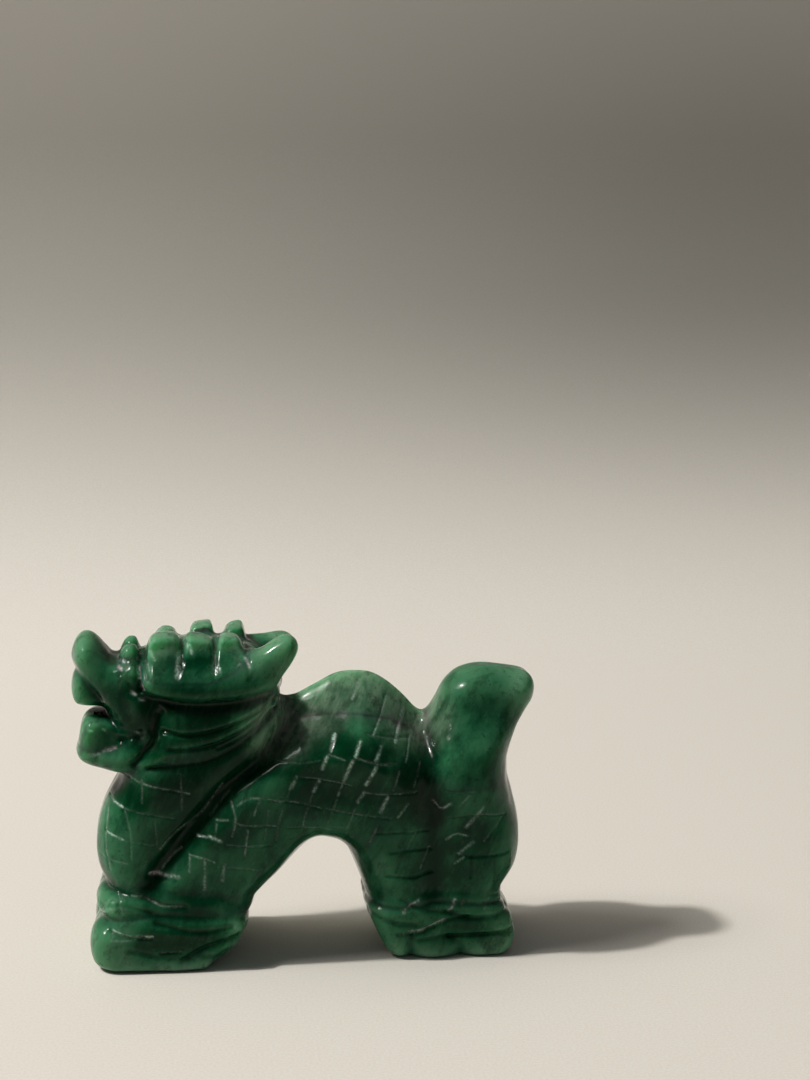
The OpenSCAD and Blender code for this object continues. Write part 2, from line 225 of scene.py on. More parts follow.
# ------------------------------------------------------------------ the stone
# Outlines, as (x, z), the head at -X.
BODY = [
    (-17.7, 10.6), (-14.3, 15.4), (-11.0, 19.2), (-9.2, 21.0), (-6.8, 22.7), (-3.4, 24.6), (-1.6, 25.2),
    (0.4, 25.7), (3.0, 26.2), (5.6, 26.4), (8.4, 25.9), (10.4, 25.0), (12.2, 23.8), (13.8, 22.4),
    (14.6, 20.0), (14.8, 14.0), (14.6, 6.6), (13.6, 3.0), (9.0, 2.8), (7.0, 4.0), (6.4, 6.0), (5.8, 8.0),
    (4.75, 10.5), (4.05, 11.75), (3.1, 12.5), (2.1, 12.75), (1.0, 12.8), (-0.1, 12.25), (-1.5, 10.9),
    (-3.3, 9.0), (-5.2, 7.2), (-6.5, 5.6), (-8.0, 4.0), (-14.0, 4.0), (-18.4, 5.6), (-18.8, 8.6),
]
RIDGE = [
    (-4.4, 26.6), (-3.0, 28.0), (-1.9, 28.3), (-0.8, 28.5), (0.8, 29.3), (2.7, 30.3), (4.1, 30.75),
    (5.5, 30.9), (6.9, 30.8), (8.2, 30.2), (9.6, 29.15), (10.9, 27.9), (11.8, 26.7), (12.4, 25.7),
    (13.1, 25.0), (13.9, 24.4), (14.2, 21.0), (12.8, 16.0), (5.5, 15.0), (-2.5, 18.0), (-7.0, 20.6),
]
NECK = [
    (-20.4, 20.2), (-21.2, 18.9), (-22.1, 17.2), (-22.7, 15.4), (-22.95, 13.6), (-22.95, 12.2),
    (-22.65, 10.4), (-22.1, 8.9), (-21.6, 7.6), (-21.0, 5.0), (-17.0, 4.6), (-15.2, 7.2), (-15.4, 9.4),
    (-12.2, 13.3), (-9.1, 16.9), (-7.3, 18.7), (-5.0, 20.4), (-3.0, 22.6), (-2.0, 25.0), (-2.2, 27.2),
    (-3.2, 28.6), (-5.4, 29.2), (-12.0, 27.0), (-18.6, 24.0),
]
HAUNCH = [
    (21.4, 20.2), (21.7, 18.9), (22.5, 17.4), (23.1, 15.4), (23.45, 13.4), (23.4, 11.4), (22.9, 9.4),
    (22.1, 7.9), (21.4, 6.6), (20.6, 4.2), (17.0, 3.0), (13.0, 4.4), (11.3, 8.0), (11.3, 15.0),
    (12.0, 21.0), (14.0, 24.4), (17.5, 26.0), (21.0, 24.6),
]
TAIL = [
    (12.9, 24.9), (13.5, 25.8), (14.3, 27.6), (15.1, 29.2), (16.4, 30.45), (17.9, 31.1), (19.6, 31.3),
    (21.9, 31.05), (23.9, 30.65), (24.7, 30.0), (25.0, 29.0), (24.8, 27.7), (24.1, 26.5), (23.05, 24.8),
    (22.0, 22.9), (21.5, 21.6), (21.4, 20.2), (20.8, 17.5), (17.5, 16.0), (14.2, 17.5), (12.8, 21.5),
]
WRIST = [
    (-21.6, 5.2), (-22.5, 5.9), (-22.95, 6.8), (-22.75, 7.7), (-22.0, 8.5), (-20.4, 9.0), (-15.0, 8.8),
    (-9.0, 8.2), (-6.2, 6.9), (-6.4, 5.2), (-8.0, 3.6), (-19.0, 3.6),
]
FOREFOOT = [
    (-20.4, -1.0), (-22.0, -0.4), (-23.1, 0.8), (-23.5, 2.3), (-23.4, 3.7), (-22.9, 4.7), (-21.9, 5.3),
    (-19.0, 5.9), (-12.0, 6.2), (-8.4, 6.0), (-6.9, 5.2), (-7.2, 3.8), (-7.6, 2.6), (-8.5, 1.4),
    (-10.0, 0.2), (-11.6, -1.0),
]
HIND_FOOT = [
    (20.6, -1.0), (22.0, 0.1), (22.6, 1.4), (22.65, 2.8), (22.2, 4.2), (21.5, 5.3), (20.0, 6.6),
    (14.0, 7.2), (9.0, 7.1), (6.5, 6.2), (6.5, 5.0), (6.9, 3.6), (7.6, 2.0), (8.5, 0.4), (9.6, -0.6),
    (11.0, -1.0),
]
SKULL = [
    (-18.9, 24.6), (-19.4, 29.5), (-19.5, 33.0), (-17.6, 34.0), (-14.0, 34.1), (-10.0, 34.1),
    (-6.6, 33.7), (-3.7, 32.3), (-2.6, 30.6), (-3.4, 28.6), (-5.6, 26.4), (-8.5, 24.0), (-12.0, 22.4),
    (-16.0, 21.6), (-18.4, 22.0),
]
SNOUT = [
    (-25.0, 33.4), (-24.6, 34.9), (-23.8, 35.6), (-22.9, 35.5), (-22.1, 34.9), (-21.3, 34.0),
    (-20.4, 33.3), (-17.6, 33.6), (-16.6, 30.5), (-16.6, 27.0), (-17.6, 24.2), (-19.3, 23.9),
    (-20.0, 25.2), (-20.9, 26.6), (-21.7, 27.9), (-22.5, 29.3), (-23.5, 30.6), (-24.4, 31.9),
]
TEETH = [
    (-24.75, 31.6), (-25.0, 30.4), (-25.0, 29.3), (-24.65, 28.4), (-23.8, 28.1), (-22.2, 27.9),
    (-20.6, 27.6), (-20.2, 29.6), (-20.8, 32.0), (-22.6, 33.0), (-24.0, 32.6),
]
TONGUE = [
    (-24.3, 23.8), (-24.2, 25.4), (-23.95, 26.3), (-23.4, 26.95), (-22.4, 27.1), (-20.8, 26.9),
    (-18.4, 25.6), (-17.8, 23.6), (-19.6, 22.3), (-22.6, 22.4),
]
JAW = [
    (-24.75, 23.5), (-24.7, 22.8), (-24.3, 22.1), (-23.3, 21.5), (-22.0, 21.1), (-20.6, 20.75),
    (-18.6, 20.7), (-16.6, 21.4), (-15.2, 23.2), (-15.6, 25.6), (-16.8, 26.4), (-18.4, 25.6),
    (-19.8, 24.5), (-21.2, 24.1), (-22.8, 23.85), (-24.3, 24.15),
]
MANE = [
    (-15.7, 28.2), (-16.1, 26.6), (-16.5, 25.0), (-17.5, 23.6), (-18.1, 22.4), (-16.4, 22.1),
    (-13.1, 22.6), (-10.5, 23.1), (-8.6, 23.9), (-6.2, 25.3), (-4.2, 27.3), (-3.0, 29.0), (-3.6, 30.4),
    (-7.8, 30.0), (-10.4, 29.8), (-13.9, 29.8), (-15.9, 29.4),
]
HORN = [
    (-17.3, 31.4), (-15.9, 30.5), (-13.0, 29.7), (-9.6, 29.6), (-6.4, 30.0), (-4.0, 30.6), (-2.9, 31.5),
    (-1.6, 33.2), (-0.95, 34.6), (-1.2, 35.6), (-2.0, 36.1), (-2.9, 35.9), (-4.4, 35.0), (-5.9, 33.9),
    (-7.6, 32.9), (-10.4, 32.2), (-14.0, 32.0), (-16.2, 32.1),
]
FAR_HORN = [
    *HORN[:4], (-6.4, 29.9), (-4.0, 30.4), (-2.7, 31.2), (-1.5, 32.2), (-1.0, 33.1), (-1.3, 33.8),
    (-2.2, 34.2), (-3.4, 34.1), (-4.8, 33.7), (-6.2, 33.1), (-7.8, 32.6), *HORN[-3:],
]
BANK = [
    (-17.2, 30.6), (-16.9, 33.6), (-16.3, 34.8), (-13.0, 35.0), (-9.7, 35.0), (-6.9, 34.5), (-5.2, 33.7),
    (-4.0, 32.4), (-4.2, 30.6), (-9.0, 29.4), (-14.0, 29.4),
]
CHEEK = [
    (-19.2, 30.0), (-18.9, 27.4), (-18.4, 25.8), (-17.4, 24.8), (-16.0, 24.8), (-15.2, 26.6),
    (-15.2, 29.4), (-17.0, 30.8),
]
NEAR_KNOBS = [
    [(-16.95, 31.5), (-16.9, 34.6), (-16.4, 35.7), (-15.6, 36.0), (-14.4, 36.0), (-13.8, 35.7),
     (-13.5, 34.8), (-13.4, 31.5)],
    [(-13.0, 31.5), (-12.95, 34.9), (-12.6, 35.8), (-11.4, 35.8), (-10.3, 35.5), (-9.95, 34.8),
     (-9.9, 31.5)],
    [(-9.6, 31.5), (-9.5, 35.0), (-9.0, 35.75), (-8.0, 35.8), (-7.3, 35.55), (-6.9, 34.9), (-6.5, 33.8),
     (-6.3, 31.5)],
]
FAR_KNOBS = [
    [(-16.6, 31.5), (-16.5, 34.5), (-15.7, 35.5), (-15.0, 35.65), (-14.2, 35.4), (-13.8, 34.6),
     (-13.7, 31.5)],
    [(-12.8, 31.5), (-12.6, 34.8), (-12.2, 35.85), (-11.2, 36.1), (-10.1, 36.05), (-9.85, 34.8),
     (-9.8, 31.5)],
    [(-9.0, 31.5), (-8.8, 34.8), (-8.3, 35.6), (-7.6, 35.85), (-6.8, 35.8), (-6.4, 35.0), (-6.3, 34.0),
     (-6.0, 31.5)],
]
BROW = [
    (-19.9, 33.2), (-19.6, 34.3), (-19.0, 34.8), (-18.3, 34.75), (-17.8, 34.3), (-17.3, 33.8),
    (-17.1, 32.6), (-18.6, 31.8),
]
# the pale vein along the back, partly painted glow of light through the thin ridge; bands painted darker,
# mostly painted shade; and painted light on the tops of the crest's knobs
VEIN_AND_GLOW = [(-3.4, 26.8), (-1.5, 28.2), (1.0, 29.6), (4.0, 30.9), (7.0, 30.9), (9.8, 29.4), (11.8, 27.2)]
SHADE_BANDS = [
    # painted shade below the ridge, from the neck's valley round to the haunch's valley
    [(-6.5, 22.6), (-2.0, 23.5), (3.0, 23.8), (8.0, 22.6), (11.6, 20.0), (13.0, 17.0)],
    # painted shade under the horn
    [(-16.5, 30.2), (-13.0, 29.8), (-9.0, 29.6), (-5.6, 30.2)],
    # painted shade in the cheek's hollow
    [(-18.4, 30.0), (-18.0, 27.5), (-16.8, 25.0), (-13.5, 26.5), (-9.5, 26.8)],
    # painted shade on the neck below the head
    [(-18.6, 19.0), (-14.5, 19.4), (-9.5, 20.6), (-12.0, 17.0), (-16.0, 13.5)],
    # painted darker along the forefoot's lower edge
    [(-17.0, 3.4), (-10.5, 3.2)],
    # painted darker along the snout
    [(-23.8, 34.4), (-22.0, 31.5), (-20.6, 29.0)],
]
# painted light on the tops of the crest's knobs
LIT_KNOB_TOPS = [(-15.8, 35.8), (-11.5, 36.0), (-7.4, 35.8)]
# The carver's deeper cuts: points, width, depth, and how far from the middle they begin.
GROOVES = [
    # the deep valley between the neck and the body, and its square end
    ([(-2.6, 25.4), (-6.2, 22.0), (-10.4, 18.3), (-13.6, 14.5), (-16.4, 10.8)], 1.1, 0.35, 2.5),
    ([(-17.2, 10.2), (-14.4, 10.1)], 0.3, 0.15, 4),
    # the valley in front of the haunch
    ([(13.4, 24.4), (13.4, 16.0), (13.5, 7.6)], 1.5, 0.35, 2.0),
    # under the horn and the folds of the mane
    ([(-16.8, 29.6), (-14.4, 29.1), (-10.4, 28.7), (-6.6, 29.1), (-4.0, 29.8)], 0.7, 0.2, 3.4),
    ([(-15.2, 26.3), (-12.4, 25.9), (-9.0, 26.5), (-5.4, 28.2), (-3.6, 29.4)], 0.28, 0.4, 4),
    ([(-14.8, 24.4), (-12.0, 24.4), (-8.8, 25.2), (-5.6, 27.2), (-3.6, 29.0)], 0.25, 0.36, 4),
    ([(-9.6, 24.3), (-7.4, 25.3), (-5.0, 27.0), (-3.8, 28.2)], 0.2, 0.25, 4),
    ([(-16.9, 22.3), (-13.1, 22.6), (-10.3, 23.1), (-7.0, 24.8), (-4.0, 27.4), (-2.3, 29.3)], 0.35, 0.32, 3),
    # the cheek, the jaw's corner and the lip
    ([(-15.7, 28.0), (-16.1, 26.6), (-16.5, 25.0), (-17.3, 23.8), (-18.6, 22.6)], 0.4, 0.25, 3),
    ([(-18.2, 26.6), (-18.4, 28.6), (-18.0, 31.0)], 1.1, 0.25, 3),
    ([(-19.8, 24.9), (-18.6, 25.4), (-17.6, 26.0)], 0.35, 0.25, 3),
    # in front of the crest
    ([(-17.7, 34.3), (-17.8, 32.4), (-17.6, 30.6)], 0.35, 0.5, 1.2),
    # ankles and toes
    ([(-23.4, 5.3), (-21.0, 5.8), (-17.0, 6.3), (-12.0, 5.9), (-6.0, 5.6)], 0.35, 0.1, 0),
    ([(-22.6, 8.6), (-19.0, 8.4), (-15.6, 7.5), (-13.4, 7.2)], 0.35, 0.3, 0),
    ([(-21.2, 4.6), (-19.4, 4.3), (-17.0, 4.2)], 0.3, 0.25, 4),
    ([(-16.0, 2.2), (-13.9, 2.4)], 0.2, 0.3, 5),
    ([(-13.8, 1.3), (-11.8, 2.5), (-10.0, 3.1), (-7.8, 3.8)], 0.32, 0.4, 4),
    ([(-11.4, 1.8), (-10.2, 1.5), (-8.8, 2.0)], 0.4, 0.3, 4),
    ([(6.2, 6.3), (10.0, 6.0), (15.0, 6.5), (22.4, 5.7)], 0.35, 0.22, 0),
    ([(9.4, 2.9), (12.2, 3.3), (14.6, 4.4), (17.0, 4.8)], 0.25, 0.3, 3),
    ([(10.9, 3.0), (10.8, 1.2), (11.0, -0.6)], 0.5, 0.6, 3),
    ([(14.9, 2.4), (16.2, 1.6), (16.3, -0.6)], 0.4, 0.35, 3),
    ([(11.8, 2.2), (14.9, 2.6), (19.3, 2.6), (22.6, 3.0)], 0.3, 0.35, 3),
    ([(-22.2, 7.2), (-19.6, 7.4), (-17.0, 6.8)], 0.25, 0.18, 0),
    ([(-16.4, 5.5), (-12.4, 4.6), (-8.4, 4.9)], 0.35, 0.3, 3),
    ([(-19.4, 2.7), (-15.6, 1.8), (-12.6, 1.4)], 0.35, 0.2, 4),
    ([(6.8, 5.2), (8.8, 4.4), (11.4, 4.1)], 0.35, 0.28, 0),
    ([(9.8, 7.0), (12.6, 5.7), (15.8, 5.4)], 0.3, 0.22, 0),
    ([(14.6, 5.4), (18.0, 4.6), (21.8, 4.9)], 0.35, 0.28, 3),
]
FLUTES = [(-13.2, -13.7, 0.12), (-9.75, -9.9, 0.12), (-6.4, -6.2, 0.15), (-17.0, -16.8, 0.3)]
TOES = [(-9.2, 1.3), (11.0, 1.2), (16.3, 1.1)]
# the pits behind the snout, where the eye would be
PITS = [(-20.1, 33.0), (-19.4, 33.1), (-19.7, 32.3), (-17.8, 33.4), (-17.7, 32.4), (-17.6, 31.4),
        (-18.4, 30.2), (-17.6, 29.8), (-18.8, 31.4)]


def sculpt():
    """Builds the whole stone as a distance field: solid forms first, then the grooves between them."""
    slab(BODY, 7.2, roll=4.4)
    slab(RIDGE, thicker("inside", 1.15, 6.1, -0.6, 7.6), roll=1.5, power=2.0, blend=1.2)
    slab(NECK, 6.7, roll=4.4, power=2.2, blend=0.8)
    slab(HAUNCH, 6.9, roll=4.2, blend=1.2)
    slab(TAIL, thicker("z", 4.5, 1.9, 29, 19), roll=3.0, power=2.2, blend=2.4)
    slab(WRIST, 7.15, roll=1.9, power=2.2, blend=0.8)
    slab(FOREFOOT, 3.65, middle=4.15, roll=2.2, power=2.5, blend=1.1)
    slab(FOREFOOT, 4.0, roll=3.2, power=2.4, blend=0.3)
    slab(HIND_FOOT, 3.2, middle=3.65, roll=2.0, power=2.5, blend=1.3)
    slab(HIND_FOOT, 3.6, roll=3.2, power=2.4, blend=0.4)
    slab(SKULL, 5.0, roll=2.6, power=2.4, blend=0.8)
    slab(SNOUT, thicker("x", 4.2, 1.4, -23, -17.5), roll=2.0, power=2.4, blend=0.4)
    slab(TEETH, 2.9, roll=1.2, blend=0.15)
    slab(JAW, thicker("x", 4.2, 1.4, -23, -17), roll=1.7, blend=0.25)
    slab(TONGUE, thicker("x", 4.1, 1.2, -21.5, -18.5), roll=0.9, power=2.5, blend=0.4)
    slab(MANE, 2.9, middle=4.2, roll=2.6, power=2.2, blend=0.4)
    slab(CHEEK, 5.5, roll=1.6, power=2.2, blend=0.9)
    slab(BANK, thicker("z", 4.5, 2.1, 35.8, 30.4), roll=1.2, power=2.6, blend=0.6)
    for knobs, horn, side in ((NEAR_KNOBS, HORN, -1), (FAR_KNOBS, FAR_HORN, 1)):
        slab(horn, thicker("x", 1.95, -0.35, -6, -9.5), middle=5.1, roll=1.5, blend=1.7, side=side)
        for knob in knobs:
            half = thicker("z", 2.0, 0.9, 35.6, 31.5)
            slab(knob, half, middle=2.9, roll=0.5, power=3.4, blend=0.4, side=side)
    slab(BROW, 1.5, middle=2.3, roll=1.0, power=2.2)
    level_out()
    groove()


def level_out():
    """Turns the joined field into a true distance near the surface, with the edges a little worn."""
    global stone
    stone = blur(stone, 0.14 / SPACING)
    slopes = np.gradient(stone, SPACING)
    steep = np.sqrt(slopes[0] ** 2 + slopes[1] ** 2 + slopes[2] ** 2)
    stone /= np.clip(steep, 0.35, 3)


def groove():
    """Makes the stone as uneven as hand work, and cuts its grooves."""
    x, z = XS[:, None, None], ZS[None, None, :]
    stone[:] += (0.13 * wobble(x, Y, z, 9.0, 3) + 0.05 * wobble(x, Y, z, 3.5, 4)).astype(np.float32)
    for path, width, depth, low in GROOVES:
        engrave(path, width, depth, low)
    for x0, x1, depth in FLUTES:
        engrave([(x0, 36.6), (x0, 33.6), (x1, 32.0)], 0.3, depth, 2.2)
    for x0, z0 in PITS:
        dimple(x0, 5.0, z0, 0.32, 0.22)
    for x0, radius in TOES:
        dimple(x0, 6.8, 0.2, radius, 0.9)
    flatten_bottom()


def flatten_bottom():
    """The ground-off soles, with a worn edge."""
    worn = 0.9
    below = -ZS[None, None, :]
    h = np.clip(0.5 + 0.5 * (stone - below) / worn, 0, 1)
    stone[:] = stone * h + below * (1 - h) + worn * h * (1 - h)


# ------------------------------------------------------------------ where the stone is divided
MOUTH_CORNER = (-19.6, 24.4)
SNOUT_NOTCH = (-19.9, 34.0)
CHIN = (-20.6, 20.6)
JAW_HINGE = (-16.0, 26.4)
JAW_FOOT = (-18.4, 21.5)
EDGE = 30.0  # beyond every surface
TOP = 40.0
MOUTH_ROOF = (-EDGE, 28.0)
UPPER_LIP = [(-21.0, 26.9), (-22.3, 29.0), (-24.4, 31.9), (-EDGE, 35.2)]
LOWER_LIP = [(-21.0, 23.9), (-22.8, 23.5), (-24.0, 23.9), (-EDGE, 23.9)]
CHEEK_LINE = [JAW_HINGE, (-16.2, 25.1), (-17.1, 23.9), (-18.3, 22.9), JAW_FOOT]
NAPE = (-2.3, 28.9)
HEAD_FLOOR = [(-16.4, 22.2), (-13.1, 22.7), (-10.5, 23.2), (-8.7, 24.0), (-6.1, 25.4), (-3.9, 27.4), NAPE]
HORN_FLOOR = [(-17.2, 30.0), (-15.2, 28.9), (-12.5, 28.2), (-9.0, 28.2), (-6.0, 28.9), (-3.4, 29.7), NAPE]
CREST_FLOOR = [(-17.3, 32.2), (-15.5, 31.5), (-10.5, 31.5), (-8.2, 32.4), (-6.1, 33.8)]
BEHIND_HEAD = [(0.6, 31.4), (6.0, TOP)]
BROW_LEFT, BROW_RIGHT = (-19.9, 33.7), (-17.3, 33.5)
RUMP_NOTCH = (13.15, 23.4)
RIDGE_ROOT = [(-1.0, 26.3), (2.0, 26.9), (5.5, 27.1), (9.0, 26.2), (11.4, 24.7), RUMP_NOTCH]
VALLEY = [(-1.0, 26.3), (-5.9, 22.4), (-10.2, 18.6), (-13.4, 14.9), (-16.9, 10.4), (-18.4, 9.2)]
RUMP = [(13.5, 19.0), (13.6, 6.3)]
HUMP_FRONT, HUMP_REAR = (1.6, 10.0), (3.9, 10.0)
FORELEG_TOP = [(-18.4, 9.2), (-13.0, 8.6), (-8.0, 7.9), (-3.5, 8.2)]
FOREFOOT_TOP = [(-EDGE, 5.6), (-21.8, 5.7), (-16.0, 6.3), (-8.0, 6.2), (-3.5, 6.4)]
HIND_FOOT_TOP = [(3.2, 6.4), (8.0, 6.2), (13.6, 6.3), (18.0, 6.0), (21.8, 5.9), (EDGE, 5.9)]
TAIL_ROOT = [(13.5, 19.0), (17.5, 19.2), (21.4, 19.6), (EDGE, 19.6)]
UNDER = -2.0
CELL_OUTLINES = {
    "head": [(-EDGE, 20.6), CHIN, JAW_FOOT, *HEAD_FLOOR, *BEHIND_HEAD, (-EDGE, TOP)],
    "face": [(-EDGE, TOP), (-19.9, TOP), SNOUT_NOTCH, MOUTH_CORNER, *CHEEK_LINE, CHIN, (-EDGE, 20.6)],
    "snout": [(-EDGE, TOP), (-19.9, TOP), SNOUT_NOTCH, MOUTH_CORNER, *UPPER_LIP],
    "teeth": [MOUTH_ROOF, *UPPER_LIP[::-1]],
    "tongue": [MOUTH_CORNER, *LOWER_LIP, MOUTH_ROOF, UPPER_LIP[0]],
    "jaw": [*LOWER_LIP[::-1], MOUTH_CORNER, *CHEEK_LINE, CHIN, (-EDGE, 20.6)],
    "brow": [(-19.9, TOP), SNOUT_NOTCH, BROW_LEFT, BROW_RIGHT, (-17.3, TOP)],
    "crest": [(-17.3, TOP), *CREST_FLOOR, (-6.1, TOP)],
    "horn": [*CREST_FLOOR[::-1], *HORN_FLOOR, *BEHIND_HEAD, (-6.1, TOP)],
    "mane": [*HORN_FLOOR, *HEAD_FLOOR[::-1], JAW_FOOT, *CHEEK_LINE[::-1]],
    "neck": [(-EDGE, 20.6), CHIN, JAW_FOOT, *HEAD_FLOOR, *VALLEY, (-EDGE, 9.2)],
    "front_body": [*VALLEY, *FORELEG_TOP[1:], (1.0, 8.2), HUMP_FRONT],
    "dorsal_ridge": [NAPE, *BEHIND_HEAD, (13.1, TOP), *RIDGE_ROOT[::-1]],
    "hump": [HUMP_FRONT, *RIDGE_ROOT, HUMP_REAR],
    "rear_body": [HUMP_REAR, RUMP_NOTCH, *RUMP, HIND_FOOT_TOP[1], HIND_FOOT_TOP[0]],
    "haunch": [RUMP[1], *TAIL_ROOT, *HIND_FOOT_TOP[:2:-1]],
    "tail": [(13.1, TOP), RUMP_NOTCH, *TAIL_ROOT, (EDGE, TOP)],
    "foreleg": [(-EDGE, 9.2), *FORELEG_TOP, *FOREFOOT_TOP[::-1]],
    "forefoot": [*FOREFOOT_TOP, (-3.5, UNDER), (-EDGE, UNDER)],
    "hind_foot": [*HIND_FOOT_TOP, (EDGE, UNDER), (3.2, UNDER)],
}
CORE_HALF = 2.9   # the skull between the two horns and the two manes
SLOT_HALF = 0.9   # half of the slot between the crest's rows
BROW_GAP_HALF = 0.4
flat_cells = {}


def flat_cell(name):
    """Signed distance to a cell's outline on the whole X, Z grid."""
    if name not in flat_cells:
        loop = np.array(CELL_OUTLINES[name], float)
        flat_cells[name] = signed_distance(loop, XS[:, None], ZS[None, :]).astype(np.float32)
    return flat_cells[name]


def cell(node, flat, y):
    """How far outside a node's region each place is; flat(name) gives the distance to a named outline."""
    side = {"left": -1, "right": 1}.get(node.split("_")[0], 0)
    away = np.abs(y)
    if node == "skull":
        region = np.maximum(flat("head"), -flat("face"))
        region = np.maximum(region, -np.maximum(flat("brow"), BROW_GAP_HALF - away))
        region = np.maximum(region, -np.maximum(flat("crest"), SLOT_HALF - away))
        return np.maximum(region, -np.maximum(np.minimum(flat("horn"), flat("mane")), CORE_HALF - away))
    if node == "brow_knobs":
        return np.maximum(flat("brow"), BROW_GAP_HALF - away)
    if side:
        name = node.split("_", 1)[1]
        inner = {"crest": SLOT_HALF, "horn": CORE_HALF, "mane": CORE_HALF}.get(name, 0.0)
        return np.maximum(flat(name), inner - side * y)
    name = {"upper_teeth": "teeth", "lower_jaw": "jaw"}.get(node, node)
    return flat(name) + 0 * y
